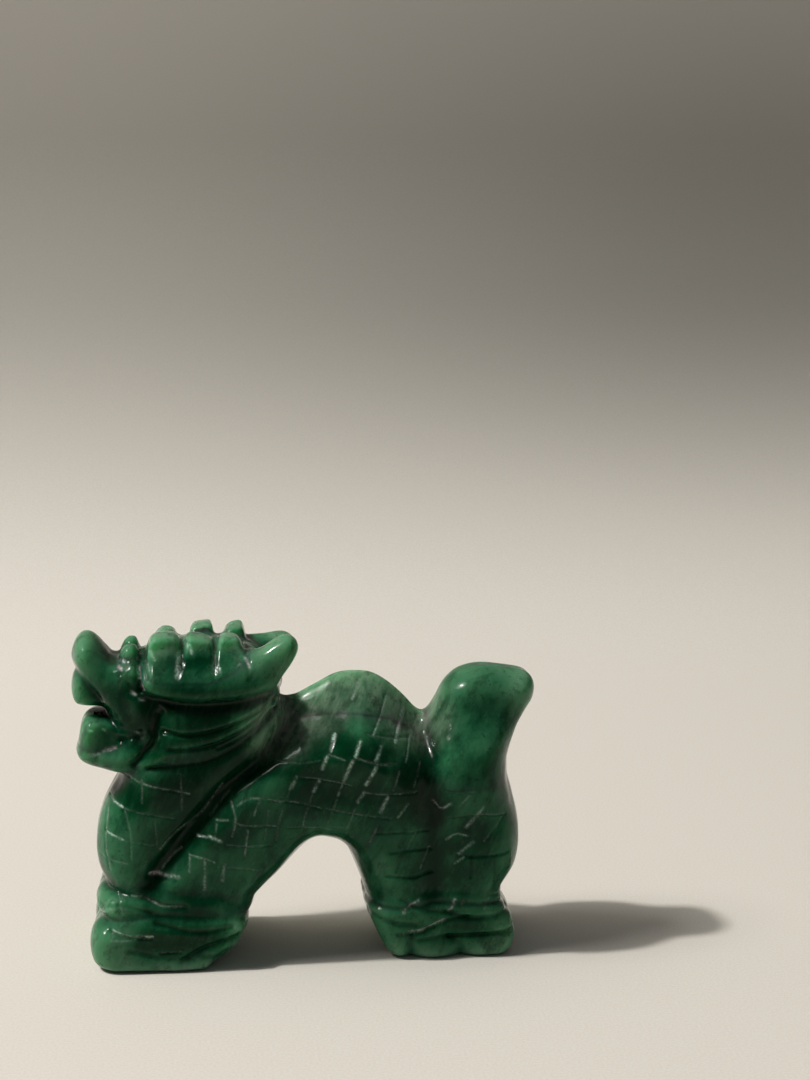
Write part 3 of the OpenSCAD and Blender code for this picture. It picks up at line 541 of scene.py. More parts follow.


# ------------------------------------------------------------------ fine cuts
# The carver's scale lines and scratches on the side: width, depth in hundredths of a mm, how pale the cut is
# painted in percent (its frosting, with painted glint where it catches the light), and its points.
FINE, WIDE = 0.13, 0.2
SCRATCHES = [
    # slanted cuts across the dorsal ridge
    (WIDE, 10, 100, (3.2, 31.0), (2.4, 30.1)), (FINE, 8, 90, (5.75, 31.2), (5.5, 30.6)),
    (WIDE, 10, 100, (5.6, 29.9), (4.9, 28.5)), (FINE, 8, 65, (8.6, 28.4), (7.7, 26.4), (6.9, 25.3)),
    (WIDE, 10, 95, (10.7, 27.3), (9.9, 25.6), (9.3, 24.3)), (FINE, 6, 35, (-0.6, 28.4), (-1.6, 26.6)),
    # slanted rows across the hump
    (WIDE, 12, 100, (2.7, 25.2), (2.2, 23.9)), (WIDE, 11, 80, (1.8, 23.3), (1.3, 22.0)),
    (WIDE, 10, 70, (1.0, 20.6), (0.4, 19.5)), (FINE, 7, 25, (0.3, 19.2), (-0.5, 16.8), (-0.8, 15.4)),
    (WIDE, 12, 100, (5.4, 24.8), (4.8, 23.4)), (WIDE, 12, 90, (4.5, 22.9), (3.6, 20.6)),
    (FINE, 9, 50, (3.5, 20.3), (3.0, 18.9)), (FINE, 6, 22, (2.9, 18.5), (1.8, 15.6)),
    (WIDE, 12, 90, (7.7, 24.2), (7.0, 22.8)), (WIDE, 12, 100, (7.0, 22.1), (6.0, 20.1)),
    (WIDE, 10, 60, (5.8, 19.2), (5.1, 18.1)), (FINE, 6, 25, (4.8, 17.4), (3.9, 15.0)),
    (FINE, 8, 40, (11.0, 24.3), (10.3, 22.3)), (FINE, 8, 30, (9.6, 21.4), (8.9, 19.3)),
    (WIDE, 11, 75, (8.4, 18.7), (7.5, 16.9)), (FINE, 7, 30, (7.2, 15.4), (6.4, 13.6)),
    (FINE, 8, 50, (10.5, 17.8), (9.4, 16.3)), (WIDE, 10, 70, (-1.4, 21.1), (-2.1, 19.8)),
    (FINE, 6, 22, (-2.2, 19.4), (-3.2, 16.6), (-3.6, 14.2)), (FINE, 6, 20, (11.9, 22.0), (11.2, 19.6)),
    # long rows along the hump
    (FINE, 9, 35, (2.0, 23.6), (3.7, 23.0)), (FINE, 9, 35, (4.7, 23.3), (7.4, 22.4), (9.2, 22.3)),
    (FINE, 9, 30, (-1.0, 21.1), (0.6, 20.9), (2.6, 20.5), (4.4, 20.0)),
    (FINE, 9, 32, (6.1, 19.1), (7.9, 18.9), (11.4, 19.0)),
    (FINE, 8, 30, (-4.2, 18.6), (-1.6, 18.4), (1.2, 17.6)),
    (FINE, 8, 25, (1.8, 17.5), (5.4, 16.7), (8.6, 16.2)),
    (FINE, 7, 20, (-2.4, 15.6), (0.4, 15.4), (3.6, 14.8)),
    (FINE, 7, 20, (6.2, 25.4), (8.6, 24.7), (11.0, 24.2)),
    (FINE, 5, 15, (-3.6, 22.7), (-0.6, 22.7), (1.4, 23.0)),
    # neck and chest
    (FINE, 10, 40, (-20.3, 21.4), (-16.2, 20.3), (-12.7, 19.5)),
    (FINE, 12, 100, (-21.2, 18.4), (-19.8, 18.0)),
    (FINE, 7, 18, (-19.6, 17.9), (-16.0, 17.1), (-14.2, 16.8)),
    (FINE, 12, 100, (-21.6, 15.2), (-19.7, 14.6)), (FINE, 7, 20, (-19.5, 14.5), (-16.6, 13.9)),
    (FINE, 7, 25, (-13.6, 21.6), (-13.5, 17.5)), (FINE, 6, 20, (-17.7, 21.0), (-17.7, 18.6)),
    (FINE, 7, 25, (-19.5, 17.6), (-19.0, 15.0), (-19.0, 12.4)),
    (FINE, 7, 30, (-21.4, 17.4), (-21.7, 14.0), (-21.3, 11.0)),
    (FINE, 6, 25, (-22.2, 12.4), (-19.4, 12.0)), (FINE, 5, 15, (-16.4, 16.6), (-16.2, 13.6)),
    # rough tool marks behind the snout, in the flutes and on the mouth, frosted and with painted sparkle
    (WIDE, 12, 100, (-20.2, 33.5), (-19.9, 33.4)), (WIDE, 12, 100, (-19.5, 33.6), (-19.3, 33.4)),
    (WIDE, 12, 70, (-18.6, 30.4), (-18.2, 30.2)), (WIDE, 10, 50, (-17.7, 29.7), (-17.3, 29.6)),
    (WIDE, 12, 90, (-17.9, 33.6), (-17.7, 31.8)), (WIDE, 10, 100, (-16.5, 34.6), (-16.1, 33.9)),
    (WIDE, 10, 100, (-19.9, 32.9), (-19.6, 32.7)), (WIDE, 10, 90, (-17.5, 31.3), (-17.3, 30.7)),
    (WIDE, 6, 80, (-12.4, 35.2), (-12.2, 34.4)), (WIDE, 6, 70, (-9.4, 33.0), (-9.3, 32.6)),
    (WIDE, 10, 50, (-16.9, 33.4), (-16.7, 32.8)), (0.3, 8, 75, (-13.5, 34.4), (-13.75, 32.2)),
    (WIDE, 8, 80, (-12.8, 35.3), (-12.6, 35.0)), (0.28, 8, 35, (-9.85, 34.6), (-9.9, 32.6)),
    (WIDE, 8, 60, (-6.6, 34.0), (-6.2, 33.2)), (WIDE, 8, 70, (-20.4, 24.1), (-21.8, 23.7)),
    (WIDE, 8, 60, (-22.2, 23.4), (-23.4, 23.2)), (WIDE, 8, 70, (-23.2, 26.0), (-22.9, 25.9)),
    (WIDE, 8, 60, (-21.7, 26.0), (-21.5, 25.9)), (WIDE, 6, 40, (-18.2, 26.0), (-17.9, 25.8)),
    # along the deep valley
    (FINE, 8, 30, (-9.2, 20.3), (-11.4, 17.3), (-14.3, 15.2), (-15.9, 13.4)),
    (FINE, 7, 20, (-8.4, 19.6), (-10.6, 16.9)),
    (FINE, 8, 35, (-13.6, 13.4), (-14.6, 12.5), (-15.8, 11.0)),
    (0.24, 14, 100, (-17.0, 10.5), (-14.1, 10.5)),
    # front body
    (FINE, 10, 80, (-11.9, 14.9), (-11.0, 14.8)), (WIDE, 10, 100, (-10.7, 14.9), (-9.4, 14.3)),
    (FINE, 9, 55, (-12.8, 12.9), (-11.4, 12.5), (-10.2, 12.0)),
    (FINE, 8, 45, (-12.8, 12.6), (-12.9, 11.0)), (WIDE, 8, 50, (-11.2, 12.3), (-11.3, 9.0)),
    (WIDE, 8, 50, (-9.1, 11.8), (-9.4, 9.9)), (FINE, 9, 50, (-6.6, 15.4), (-7.0, 12.5)),
    (FINE, 10, 60, (-5.3, 18.6), (-5.9, 17.1)), (FINE, 9, 50, (-8.3, 18.5), (-7.9, 16.5), (-8.3, 14.8)),
    (FINE, 10, 45, (-7.7, 18.2), (-6.5, 18.9), (-5.0, 18.9), (-3.0, 18.4)),
    (FINE, 9, 50, (-9.9, 16.6), (-8.7, 16.6)), (FINE, 8, 35, (-8.0, 16.2), (-6.4, 15.9), (-3.6, 15.8)),
    (FINE, 7, 25, (-8.9, 13.9), (-6.4, 13.6), (-4.2, 13.7)),
    (FINE, 6, 20, (-9.8, 11.4), (-7.2, 11.2), (-5.6, 10.8)), (FINE, 6, 25, (-4.4, 17.6), (-4.8, 14.4)),
    (FINE, 7, 30, (-9.9, 16.2), (-10.1, 14.6)),
    # wrist and forefoot
    (FINE, 12, 60, (-19.0, 8.4), (-17.7, 8.2), (-15.6, 7.4), (-13.5, 7.2)),
    (WIDE, 10, 85, (-21.0, 4.9), (-19.2, 4.3), (-16.9, 4.2)),
    (FINE, 10, 95, (-21.2, 3.9), (-19.4, 3.9), (-18.0, 4.2)), (FINE, 10, 50, (-16.0, 2.2), (-13.9, 2.4)),
    (FINE, 5, 20, (-20.4, 8.6), (-20.0, 6.6)),
    # rear body and haunch
    (FINE, 9, 40, (12.9, 12.7), (11.9, 10.4)), (FINE, 10, 60, (13.3, 17.8), (14.1, 17.0), (15.1, 17.7)),
    (WIDE, 10, 55, (18.8, 17.2), (16.8, 14.8)), (FINE, 10, 60, (14.7, 13.5), (15.7, 14.1), (17.0, 13.9)),
    (WIDE, 10, 45, (17.6, 13.2), (16.0, 11.9)), (FINE, 10, 60, (16.6, 11.5), (15.6, 10.8)),
    (FINE, 8, 40, (17.0, 18.6), (15.9, 17.2)), (FINE, 7, 25, (20.8, 15.6), (18.8, 13.2)),
    (FINE, 7, 25, (11.4, 14.6), (10.5, 12.8)), (FINE, 6, 25, (7.6, 11.4), (7.2, 9.6)),
    (FINE, 7, 20, (15.0, 16.0), (18.0, 16.3), (21.2, 15.9)), (FINE, 5, 15, (14.6, 19.0), (17.6, 19.0)),
    # the dark, unfrosted cuts
    (WIDE, 16, 0, (16.4, 11.6), (18.6, 11.55), (21.6, 11.7)), (WIDE, 18, 0, (17.4, 11.5), (17.35, 9.3)),
    (WIDE, 16, 0, (8.2, 9.7), (11.2, 9.55), (13.2, 9.9)),
    (WIDE, 12, 0, (8.6, 12.4), (11.2, 12.6), (13.0, 12.5)), (WIDE, 12, 0, (9.7, 12.2), (9.2, 10.2)),
    (WIDE, 10, 0, (10.2, 15.0), (9.6, 13.0)), (FINE, 12, 0, (19.9, 11.4), (20.0, 8.6)),
    (FINE, 10, 10, (7.2, 14.6), (12.8, 14.6)), (WIDE, 18, 0, (15.0, 2.5), (19.3, 2.6), (22.6, 2.95)),
    # hind foot
    (WIDE, 12, 75, (11.7, 6.9), (10.9, 6.5), (10.0, 5.7)), (WIDE, 12, 85, (15.6, 6.8), (15.0, 5.6)),
    (0.22, 14, 75, (14.5, 4.5), (12.2, 3.5), (9.9, 2.8)), (WIDE, 10, 90, (9.6, 2.8), (11.2, 3.1)),
    (FINE, 8, 60, (16.6, 6.6), (16.3, 6.2)), (FINE, 8, 35, (19.4, 6.6), (18.8, 5.6)),
]
OTHER_SIDE_SHIFT = (0.35, -0.25)  # the far side has the same cuts, laid a little differently
CUT_START, CUT_FULL = 1.2, 2.2    # how far from the middle the cuts begin, and reach their full depth


def fine_cuts(points):
    """Depth of the fine cuts at each point, the slope of that depth, and how pale the cut is painted:
    frosting with painted glint.
    """
    depth, frost_and_glint = np.zeros(len(points)), np.zeros(len(points))
    slope = np.zeros((len(points), 3))
    flat = points[:, [0, 2]]
    for side, (move_x, move_z) in ((-1, (0, 0)), (1, OTHER_SIDE_SHIFT)):
        for width, hundredths, percent, *path in SCRATCHES:
            deep, white = hundredths / 100, percent / 100
            line = open_curve(path) + (move_x, move_z)
            low, high = line.min(0) - 3 * width, line.max(0) + 3 * width
            close = ((flat > low) & (flat < high)).all(1)
            near = np.nonzero(close & (points[:, 1] * side > CUT_START))[0]
            if not len(near):
                continue
            best, away_x, away_z = way_from_path(line, *flat[near].T)
            profile = np.exp(-best / width ** 2)
            fade = smooth_step(CUT_START, CUT_FULL, points[near, 1] * side)
            cut = deep * profile * fade
            depth[near] += cut
            slope[near, 0] -= 2 * away_x / width ** 2 * cut
            slope[near, 2] -= 2 * away_z / width ** 2 * cut
            frost_and_glint[near] = np.maximum(frost_and_glint[near], white ** 1.3 * np.exp(-best / (0.75 * width) ** 2) * fade)
    return depth, slope, frost_and_glint


# ------------------------------------------------------------------ meshes
def sample(grid, points, low=LOW, spacing=SPACING):
    """Reads a grid between its points."""
    g = (points - low) / spacing
    i = np.clip(np.floor(g).astype(int), 0, np.array(grid.shape) - 2)
    f = g - i
    total = np.zeros(len(points))
    for corner in np.ndindex(*[2] * grid.ndim):
        weight = np.prod([f[:, a] if step else 1 - f[:, a] for a, step in enumerate(corner)], axis=0)
        total += weight * grid[tuple(i[:, a] + step for a, step in enumerate(corner))]
    return total


def slope_of(field, points, reach):
    """Central-difference slope of field(points)."""
    out = np.zeros((len(points), 3))
    for axis in range(3):
        step = np.zeros(3)
        step[axis] = reach
        out[:, axis] = (field(points + step) - field(points - step)) / (2 * reach)
    return out


def stone_at(points):
    """Distance from the stone's surface, negative inside it."""
    return sample(stone, points)


def flat_cell_at(name, points):
    """Signed distance to a cell's outline."""
    return sample(flat_cell(name), points[:, [0, 2]], LOW[[0, 2]])


def unit(vectors):
    """The vectors at length 1."""
    return vectors / (np.linalg.norm(vectors, axis=1)[:, None] + 1e-9)


COARSE = 0.5   # spacing of the grids that tell how deep in stone a place is
PADDING = 8    # and their empty border, in steps
NEAR_REACH, WIDE_REACH = 0.8, 2.4


def buried_grids():
    """How much of the space round each place is stone, on a small and on a large scale."""
    skip = int(round(COARSE / SPACING))
    solid = (stone[::skip, ::skip, ::skip] < 0).astype(np.float32)
    return [blur(np.pad(solid, PADDING), reach / COARSE) for reach in (NEAR_REACH, WIDE_REACH)]


def settle(points, cell_at):
    """Moves each point onto the stone's skin, onto the cut between two nodes, or onto the edge of both.

    Returns the points, and which of them are on the skin.
    """
    for _ in range(3):
        s, c = stone_at(points), cell_at(points)
        seam = (np.abs(s - c) < 0.75 * SPACING) & (np.maximum(np.abs(s), np.abs(c)) < SPACING)
        outer = (s >= c) | seam
        gs, gc = slope_of(stone_at, points, SPACING), slope_of(cell_at, points, SPACING * 0.5)
        a, b, m = (gs ** 2).sum(1), (gc ** 2).sum(1), (gs * gc).sum(1)
        step = np.where(outer[:, None], -s[:, None] * gs / (a[:, None] + 1e-6), 0)
        step += np.where((~outer)[:, None], -c[:, None] * gc / (b[:, None] + 1e-6), 0)
        both = seam & (np.abs(m) < 0.8)
        det = np.where(both, a * b - m * m, 1)
        u, v = (-s * b + c * m) / det, (-c * a + s * m) / det
        step = np.where(both[:, None], u[:, None] * gs + v[:, None] * gc, step)
        length = np.linalg.norm(step, axis=1)[:, None]
        points = points + step * np.minimum(1, SPACING / (length + 1e-9))
    return points, outer


def piece_mesh(node, buried):
    """The part of the stone in one node's region, as a closed mesh with its own look data."""
    low, high = (np.array(corner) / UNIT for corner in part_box(node))
    wx, wz = window(low[[0, 2]] - 2.5, high[[0, 2]] + 2.5)
    field = np.maximum(stone[wx, :, wz], cell(node, lambda n: flat_cell(n)[wx, None, wz], Y))
    field = np.pad(field, 1, constant_values=1.0)
    grid = openvdb.FloatGrid()
    grid.background = 1.0
    grid.copyFromArray(np.ascontiguousarray(field, np.float32))
    points, quads = grid.convertToQuads(isovalue=0.0)
    corner = np.array([XS[wx][0], YS[0], ZS[wz][0]]) - SPACING
    points = points.astype(float) * SPACING + corner
    points, outer = settle(points, lambda p: cell(node, lambda n: flat_cell_at(n, p), p[:, 1]))

    normal = unit(slope_of(stone_at, points, SPACING))
    depth, slope, frost_and_glint = fine_cuts(points)
    on_floor = smooth_step(0.25, 0.05, points[:, 2]) * smooth_step(-0.7, -0.9, normal[:, 2])
    on_side = smooth_step(0.1, 0.35, np.abs(normal[:, 1]))
    depth = depth * outer * (1 - on_floor)
    points = points - depth[:, None] * normal
    shading = unit(normal + slope * outer[:, None])
    return points, quads, shading, look_data(points, normal, frost_and_glint * outer * on_side, buried)


def look_data(points, normal, frost_and_glint, buried):
    """What the material needs to know at each point of a piece."""
    inner = points - 0.7 * normal
    near, wide = (sample(grid, inner, LOW - PADDING * COARSE, COARSE) for grid in buried)
    x, z = points[:, 0], points[:, 2]
    # painted shade along the shade bands
    light_and_shade = np.max([nearness(band, 0.6, 3.0, x, z) for band in SHADE_BANDS], axis=0)
    # painted light on the knob tops
    light_and_shade -= nearness(LIT_KNOB_TOPS, 0.8, 2.4, x, z)
    # the pale vein, partly painted glow of light through the thin ridge
    vein_and_glow = nearness(VEIN_AND_GLOW, 0.6, 5.4, x, z)
    return {"buried_near": near, "buried_wide": wide, "frost_and_glint": frost_and_glint, "vein_and_glow": vein_and_glow, "light_and_shade": light_and_shade}


def add_object(name, data):
    """A new object in the scene."""
    thing = bpy.data.objects.new(name, data)
    bpy.context.scene.collection.objects.link(thing)
    return thing


def make_piece(node, buried, finish):
    """One node's piece of the stone, in place of the CAD node."""
    points, quads, normals, looks = piece_mesh(node, buried)
    quads = quads.astype(np.int32)
    a, b, c = points[quads[:, 0]], points[quads[:, 1]], points[quads[:, 2]]
    if np.einsum("ij,ij->", a, np.cross(b, c)) < 0:
        quads = quads[:, ::-1]
    mesh = bpy.data.meshes.new(node + "_stone")
    mesh.vertices.add(len(points))
    mesh.vertices.foreach_set("co", (points * UNIT).astype(np.float32).ravel())
    mesh.loops.add(quads.size)
    mesh.loops.foreach_set("vertex_index", quads.ravel())
    mesh.polygons.add(len(quads))
    mesh.polygons.foreach_set("loop_start", np.arange(0, quads.size, 4, dtype=np.int32))
    mesh.update(calc_edges=True)
    for name, values in looks.items():
        layer = mesh.attributes.new(name, "FLOAT", "POINT")
        layer.data.foreach_set("value", values.astype(np.float32))
    mesh.polygons.foreach_set("use_smooth", np.ones(len(quads), bool))
    mesh.normals_split_custom_set_from_vertices([Vector(n) for n in normals])
    piece = add_object(node + "_carved", mesh)
    piece.data.materials.append(finish)
    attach(piece, "root")
    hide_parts(node)
    return piece


# ------------------------------------------------------------------ materials
def preset(node, values):
    """Sets the inputs of a node by name."""
    for name, value in values.items():
        node.inputs[name].default_value = value


class Nodes:
    """A short way to lay out a material's nodes."""

    def __init__(self, name):
        self.material = bpy.data.materials.new(name)
        self.material.use_nodes = True
        self.tree = self.material.node_tree
        self.shader = self.tree.nodes["Principled BSDF"]
        self.coords = self.add("ShaderNodeTexCoord").outputs["Object"]

    def add(self, kind, **values):
        node = self.tree.nodes.new(kind)
        for key, value in values.items():
            setattr(node, key, value)
        return node

    def link(self, source, target):
        self.tree.links.new(source, target)

    def attribute(self, name):
        return self.add("ShaderNodeAttribute", attribute_name=name).outputs["Fac"]

    def math(self, operation, *inputs, clamp=False):
        node = self.add("ShaderNodeMath", operation=operation, use_clamp=clamp)
        for i, value in enumerate(inputs):
            if isinstance(value, (int, float)):
                node.inputs[i].default_value = value
            else:
                self.link(value, node.inputs[i])
        return node.outputs[0]

    def spread(self, value, low, high, to_low=0.0, to_high=1.0):
        """Turns low to high into to_low to to_high, smoothly and with ends that hold."""
        node = self.add("ShaderNodeMapRange", interpolation_type="SMOOTHSTEP")
        self.link(value, node.inputs["Value"])
        preset(node, {"From Min": low, "From Max": high, "To Min": to_low, "To Max": to_high})
        return node.outputs["Result"]

    def mix(self, factor, a, b):
        """Colour a, with colour b over it by the factor."""
        node = self.add("ShaderNodeMix", data_type="RGBA")
        sockets = {s.identifier: s for s in node.inputs}
        for key, value in (("Factor_Float", factor), ("A_Color", a), ("B_Color", b)):
            if isinstance(value, (int, float)):
                sockets[key].default_value = value
            elif isinstance(value, tuple):
                sockets[key].default_value = (*value, 1.0)
            else:
                self.link(value, sockets[key])
        return next(s for s in node.outputs if s.identifier == "Result_Color")

    def overlay(self, colour, tone, pattern, low, high, strength, where=None):
        """Lays a tone over the colour as the pattern goes from low to high."""
        share = self.spread(pattern, low, high, 0.0, strength)
        if where:
            share = self.math("MULTIPLY", where, share)
        return self.mix(share, colour, tone)

    def noise(self, scale, stretch=(1, 1, 1), turn=(0, 0, 0), detail=4.0, roughness=0.55,
              distortion=0.0):
        """A cloudy pattern, finer with a larger scale and drawn out by stretch."""
        place = self.add("ShaderNodeMapping", vector_type="TEXTURE")
        preset(place, {"Scale": stretch, "Rotation": turn})
        self.link(self.coords, place.inputs["Vector"])
        node = self.add("ShaderNodeTexNoise")
        preset(node, {"Scale": scale, "Detail": detail, "Roughness": roughness, "Distortion": distortion})
        self.link(place.outputs["Vector"], node.inputs["Vector"])
        return node.outputs["Fac"]


def srgb(r, g, b):
    """A display colour from 0 to 255 as the linear values that a shader takes."""
    shares = (c / 255 for c in (r, g, b))
    return tuple(c / 12.92 if c <= 0.04045 else ((c + 0.055) / 1.055) ** 2.4 for c in shares)


# stone tones from thin to thick: the paler ones paint the glow of light through thin stone, and the darker
# ones also paint shade in valleys and hollows
THIN_STONE = srgb(92, 134, 104)
PALE_STONE = srgb(38, 94, 64)
MID_STONE = srgb(2, 58, 31)
DEEP_STONE = srgb(0, 34, 14)
# the pale vein's colour, partly painted glow of light through the thin ridge
VEIN_AND_GLOW_STONE = srgb(130, 156, 130)
PALE_STREAK = srgb(60, 116, 82)
DARK_STREAK = srgb(1, 40, 18)
# the pale colour of the cuts, frosting whitened into painted glint
FROST_AND_GLINT = srgb(200, 222, 208)
PAPER_LOW = srgb(212, 206, 197)
PAPER_HIGH = srgb(220, 214, 205)
# painted shade on the backdrop and on the floor in front
SWEEP_SHADE = (0.24, 0.23, 0.2)
RIGHT_SHADE = (0.1, 0.095, 0.08)
FRONT_SHADE = (0.05, 0.05, 0.05)


def jade():
    """Polished translucent green stone, painted paler where it is thin as light passes through, with painted
    shade in its valleys, hollows and shaded bands, painted light on the knob tops and in the pale band along
    the back, with fibres and specks, and frosted cuts with painted glints.
    """
    n = Nodes("polished_jade")
    near, wide, frost_and_glint = n.attribute("buried_near"), n.attribute("buried_wide"), n.attribute("frost_and_glint")
    vein_and_glow = n.attribute("vein_and_glow")
    # mass runs from 0 in thin stone to 1 in thick stone, and also rises in valleys and hollows where more
    # stone lies round a place: the pale end paints the glow of light passing through thin stone, and the
    # rise in the hollows is painted shade
    clouds = n.noise(170.0, detail=4.0)
    mass_and_shade = n.math("ADD", n.math("MULTIPLY", near, 0.25), n.math("MULTIPLY", wide, 0.75))
    mass_and_shade = n.math("ADD", mass_and_shade, n.math("MULTIPLY", n.math("SUBTRACT", clouds, 0.5), 0.32))
    # painted shade from the bands, and painted light on the knob tops
    mass_and_shade = n.math("ADD", mass_and_shade, n.math("MULTIPLY", n.attribute("light_and_shade"), 0.13))
    colour = n.mix(n.spread(mass_and_shade, 0.38, 0.58), THIN_STONE, PALE_STONE)
    colour = n.mix(n.spread(mass_and_shade, 0.54, 0.68), colour, MID_STONE)
    colour = n.mix(n.spread(mass_and_shade, 0.62, 0.80), colour, DEEP_STONE)
    # fibres and wisps that lean to the right, and the pale vein: fibres of the stone, and painted glow of
    # light through the thin ridge
    lean = (0, math.radians(22), 0)
    fibres = n.noise(1700.0, stretch=(1.0, 2.0, 9.0), turn=lean, detail=5.0)
    wisps = n.noise(420.0, stretch=(1.0, 1.6, 3.0), turn=lean, detail=4.0, distortion=0.6)
    pale = n.math("MULTIPLY", vein_and_glow, n.spread(fibres, 0.34, 0.64, 0.38, 0.9))
    colour = n.mix(pale, colour, VEIN_AND_GLOW_STONE)
    colour = n.overlay(colour, DARK_STREAK, wisps, 0.48, 0.3, 0.55)
    thin = n.spread(mass_and_shade, 0.74, 0.5, 0.25, 1.0)
    colour = n.overlay(colour, PALE_STREAK, wisps, 0.54, 0.72, 0.4, thin)
    colour = n.overlay(colour, PALE_STREAK, fibres, 0.55, 0.75, 0.3, thin)
    # mottling, specks and glints
    mottle = n.noise(650.0, stretch=(1.0, 1.3, 1.8), turn=lean, detail=6.0, roughness=0.7)
    colour = n.overlay(colour, DARK_STREAK, mottle, 0.5, 0.34, 0.5)
    colour = n.overlay(colour, PALE_STREAK, mottle, 0.5, 0.66, 0.45, thin)
    specks = n.noise(1500.0, detail=2.0)
    colour = n.overlay(colour, DARK_STREAK, specks, 0.62, 0.78, 0.55)
    glints = n.noise(2600.0, detail=3.0, roughness=0.7)
    colour = n.overlay(colour, PALE_STREAK, glints, 0.58, 0.74, 0.45, thin)
    # the frosted cuts with their painted glints, broken up
    broken = n.noise(3800.0, detail=2.0)
    white = n.math("MULTIPLY", frost_and_glint, n.spread(broken, 0.40, 0.58, 0.4, 1.0), clamp=True)
    white = n.math("MULTIPLY", white, n.spread(n.noise(700.0, detail=2.0), 0.36, 0.56, 0.3, 1.0))
    colour = n.mix(white, colour, FROST_AND_GLINT)
    n.link(colour, n.shader.inputs["Base Color"])
    # the polish and the fine unevenness of the surface
    scuff = n.noise(700.0, detail=5.0, roughness=0.65)
    rough = n.spread(scuff, 0.35, 0.7, 0.09, 0.2)
    n.link(n.math("ADD", rough, n.math("MULTIPLY", frost_and_glint, 0.3), clamp=True), n.shader.inputs["Roughness"])
    height = n.math("ADD", n.math("MULTIPLY", n.noise(420.0, detail=3.0), 0.5),
                    n.math("MULTIPLY", n.noise(2400.0, detail=3.0), 0.1))
    height = n.math("ADD", height, n.math("MULTIPLY", n.math("MULTIPLY", broken, frost_and_glint), 0.8))
    bump = n.add("ShaderNodeBump")
    preset(bump, {"Strength": 0.3, "Distance": 0.0002})
    n.link(height, bump.inputs["Height"])
    n.link(bump.outputs["Normal"], n.shader.inputs["Normal"])
    preset(n.shader, {"IOR": 1.54, "Specular IOR Level": 0.1, "Subsurface Weight": 0.8,
                      "Subsurface Radius": (0.2, 1.0, 0.45), "Subsurface Scale": 0.006})
    return n.material


def paper():
    """A pale sheet with painted shade: darker where it curves up, more so to the right, lighter again higher
    up, and much darker near its front edge.
    """
    n = Nodes("floor_paper")
    place = n.add("ShaderNodeSeparateXYZ")
    n.link(n.coords, place.inputs[0])
    x, y, z = (place.outputs[i] for i in range(3))
    grain = n.noise(3500.0, detail=3.0)
    colour = n.mix(n.spread(grain, 0.3, 0.7), PAPER_LOW, PAPER_HIGH)
    # painted shade where the sheet curves up, more to the right, lessened higher up
    rise = n.spread(z, 0.0, 0.07)
    colour = n.mix(n.math("MULTIPLY", rise, 0.6), colour, SWEEP_SHADE)
    right = n.math("MULTIPLY", rise, n.spread(x, -0.06, 0.12))
    colour = n.mix(n.math("MULTIPLY", right, 0.5), colour, RIGHT_SHADE)
    colour = n.overlay(colour, PAPER_LOW, z, 0.08, 0.17, 0.55)
    # painted shade on the floor in front
    colour = n.overlay(colour, FRONT_SHADE, y, -0.05, -0.11, 0.9)
    n.link(colour, n.shader.inputs["Base Color"])
    preset(n.shader, {"Roughness": 0.85})
    return n.material


# ------------------------------------------------------------------ camera, floor and light
MM = 0.001
CAMERA_PLACE = Vector((-9.6, -195.3, 77.0)) * MM
CAMERA_TURN = math.radians(-6.0)    # towards the head
CAMERA_TILT = math.radians(-9.2)    # downwards
FOCAL = 61.2          # mm, for a sensor as wide as the next
SENSOR_WIDTH = 36.0
SWEEP_START = 0.12    # how far behind the figure's middle the floor begins to curve up
SWEEP_RADIUS = 0.1
SWEEP_TOP = 1.2
FLOOR_HALF_WIDTH = 1.5
FLOOR_FRONT = 0.8
LIGHT_PLACE = Vector((-0.82, -0.07, 1.12))
LIGHTS = (("lamp", 0.08, 13.0), ("halo", 0.5, 7.6))  # name, width in metres, power in watts
WARM_WHITE = (1.0, 0.985, 0.95)
ROOM_LIGHT = (0.86, 0.93, 1.0, 1.0)
ROOM_STRENGTH = 0.1
BACK = ("dorsal_ridge", "hump", "front_body")
THIN = ("left_horn", "right_horn", "left_crest", "right_crest")


def set_camera():
    """The camera at the photograph's viewing angle, from the dragon's left and a little above."""
    data = bpy.data.cameras.new("camera")
    data.lens = FOCAL
    data.sensor_width = SENSOR_WIDTH
    data.clip_start = 0.005
    camera = add_object("camera", data)
    camera.location = CAMERA_PLACE
    camera.rotation_euler = (math.radians(90) + CAMERA_TILT, 0, CAMERA_TURN)
    bpy.context.scene.camera = camera


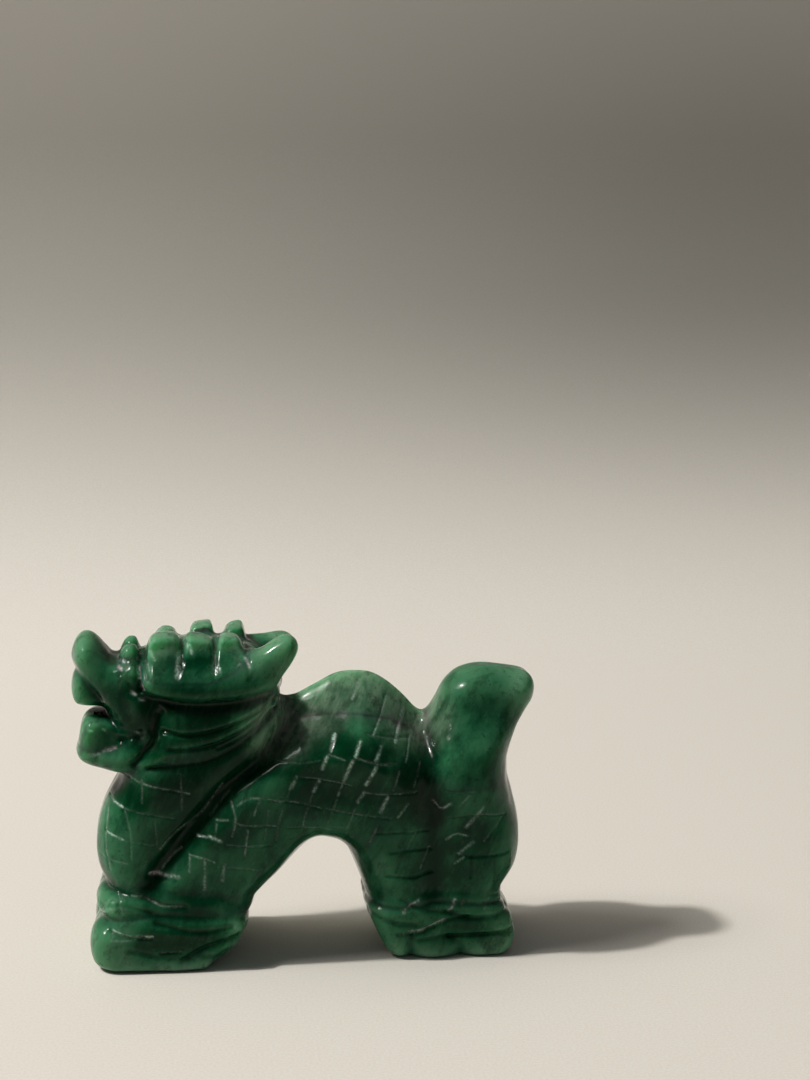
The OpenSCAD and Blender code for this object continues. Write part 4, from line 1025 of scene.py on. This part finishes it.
def make_floor():
    """A pale sheet that lies flat under the figure and curves up behind it."""
    steps = 24
    profile = [(-FLOOR_FRONT, 0.0), (SWEEP_START, 0.0)]
    profile += [(SWEEP_START + SWEEP_RADIUS * math.sin(a), SWEEP_RADIUS * (1 - math.cos(a)))
                for a in (math.pi / 2 * i / steps for i in range(1, steps + 1))]
    profile.append((SWEEP_START + SWEEP_RADIUS, SWEEP_TOP))
    points = [(x, y, z) for x in (-FLOOR_HALF_WIDTH, FLOOR_HALF_WIDTH) for y, z in profile]
    n = len(profile)
    faces = [(i, i + 1, n + i + 1, n + i) for i in range(n - 1)]
    mesh = bpy.data.meshes.new("floor")
    mesh.from_pydata(points, [], [f[::-1] for f in faces])
    mesh.polygons.foreach_set("use_smooth", np.ones(len(faces), bool))
    floor = add_object("floor", mesh)
    floor.data.materials.append(paper())


def light_group(name, members, state):
    """A group of objects that a light is told to include or to exclude."""
    group = bpy.data.collections.new(name)
    for member in members:
        group.objects.link(member)
    for entry in group.collection_objects:
        entry.light_linking.link_state = state
    return group


def area_light(name, size, power, lit, lit_state, clear=()):
    """A round light up to the left.

    lit_state says whether it lights only the lit pieces or all but them. The clear ones let it through.
    """
    data = bpy.data.lights.new(name, "AREA")
    data.shape = "DISK"
    data.size = size
    data.energy = power
    data.color = WARM_WHITE
    light = add_object(name, data)
    light.location = LIGHT_PLACE
    light.rotation_euler = (-LIGHT_PLACE).to_track_quat("-Z", "Y").to_euler()
    light.light_linking.receiver_collection = light_group(name + "_lights", lit, lit_state)
    if clear:
        light.light_linking.blocker_collection = light_group(name + "_passes", clear, "EXCLUDE")


def make_lights(pieces):
    """One lamp with a soft halo, and a dim room.

    The horns and crest are thin enough for light to pass through, so they cast no shadow on the back.
    """
    back = [pieces[node] for node in BACK]
    thin = [pieces[node] for node in THIN]
    for name, size, power in LIGHTS:
        area_light(name, size, power, back, "EXCLUDE")
        area_light(name + "_on_back", size, power, back, "INCLUDE", thin)
    world = bpy.data.worlds.new("room")
    world.use_nodes = True
    preset(world.node_tree.nodes["Background"], {"Color": ROOM_LIGHT, "Strength": ROOM_STRENGTH})
    bpy.context.scene.world = world


# ------------------------------------------------------------------ build
bpy.context.scene.view_settings.view_transform = "Standard"
set_camera()
make_floor()
sculpt()
buried = buried_grids()
finish = jade()
pieces = {node: make_piece(node, buried, finish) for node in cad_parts}
make_lights(pieces)
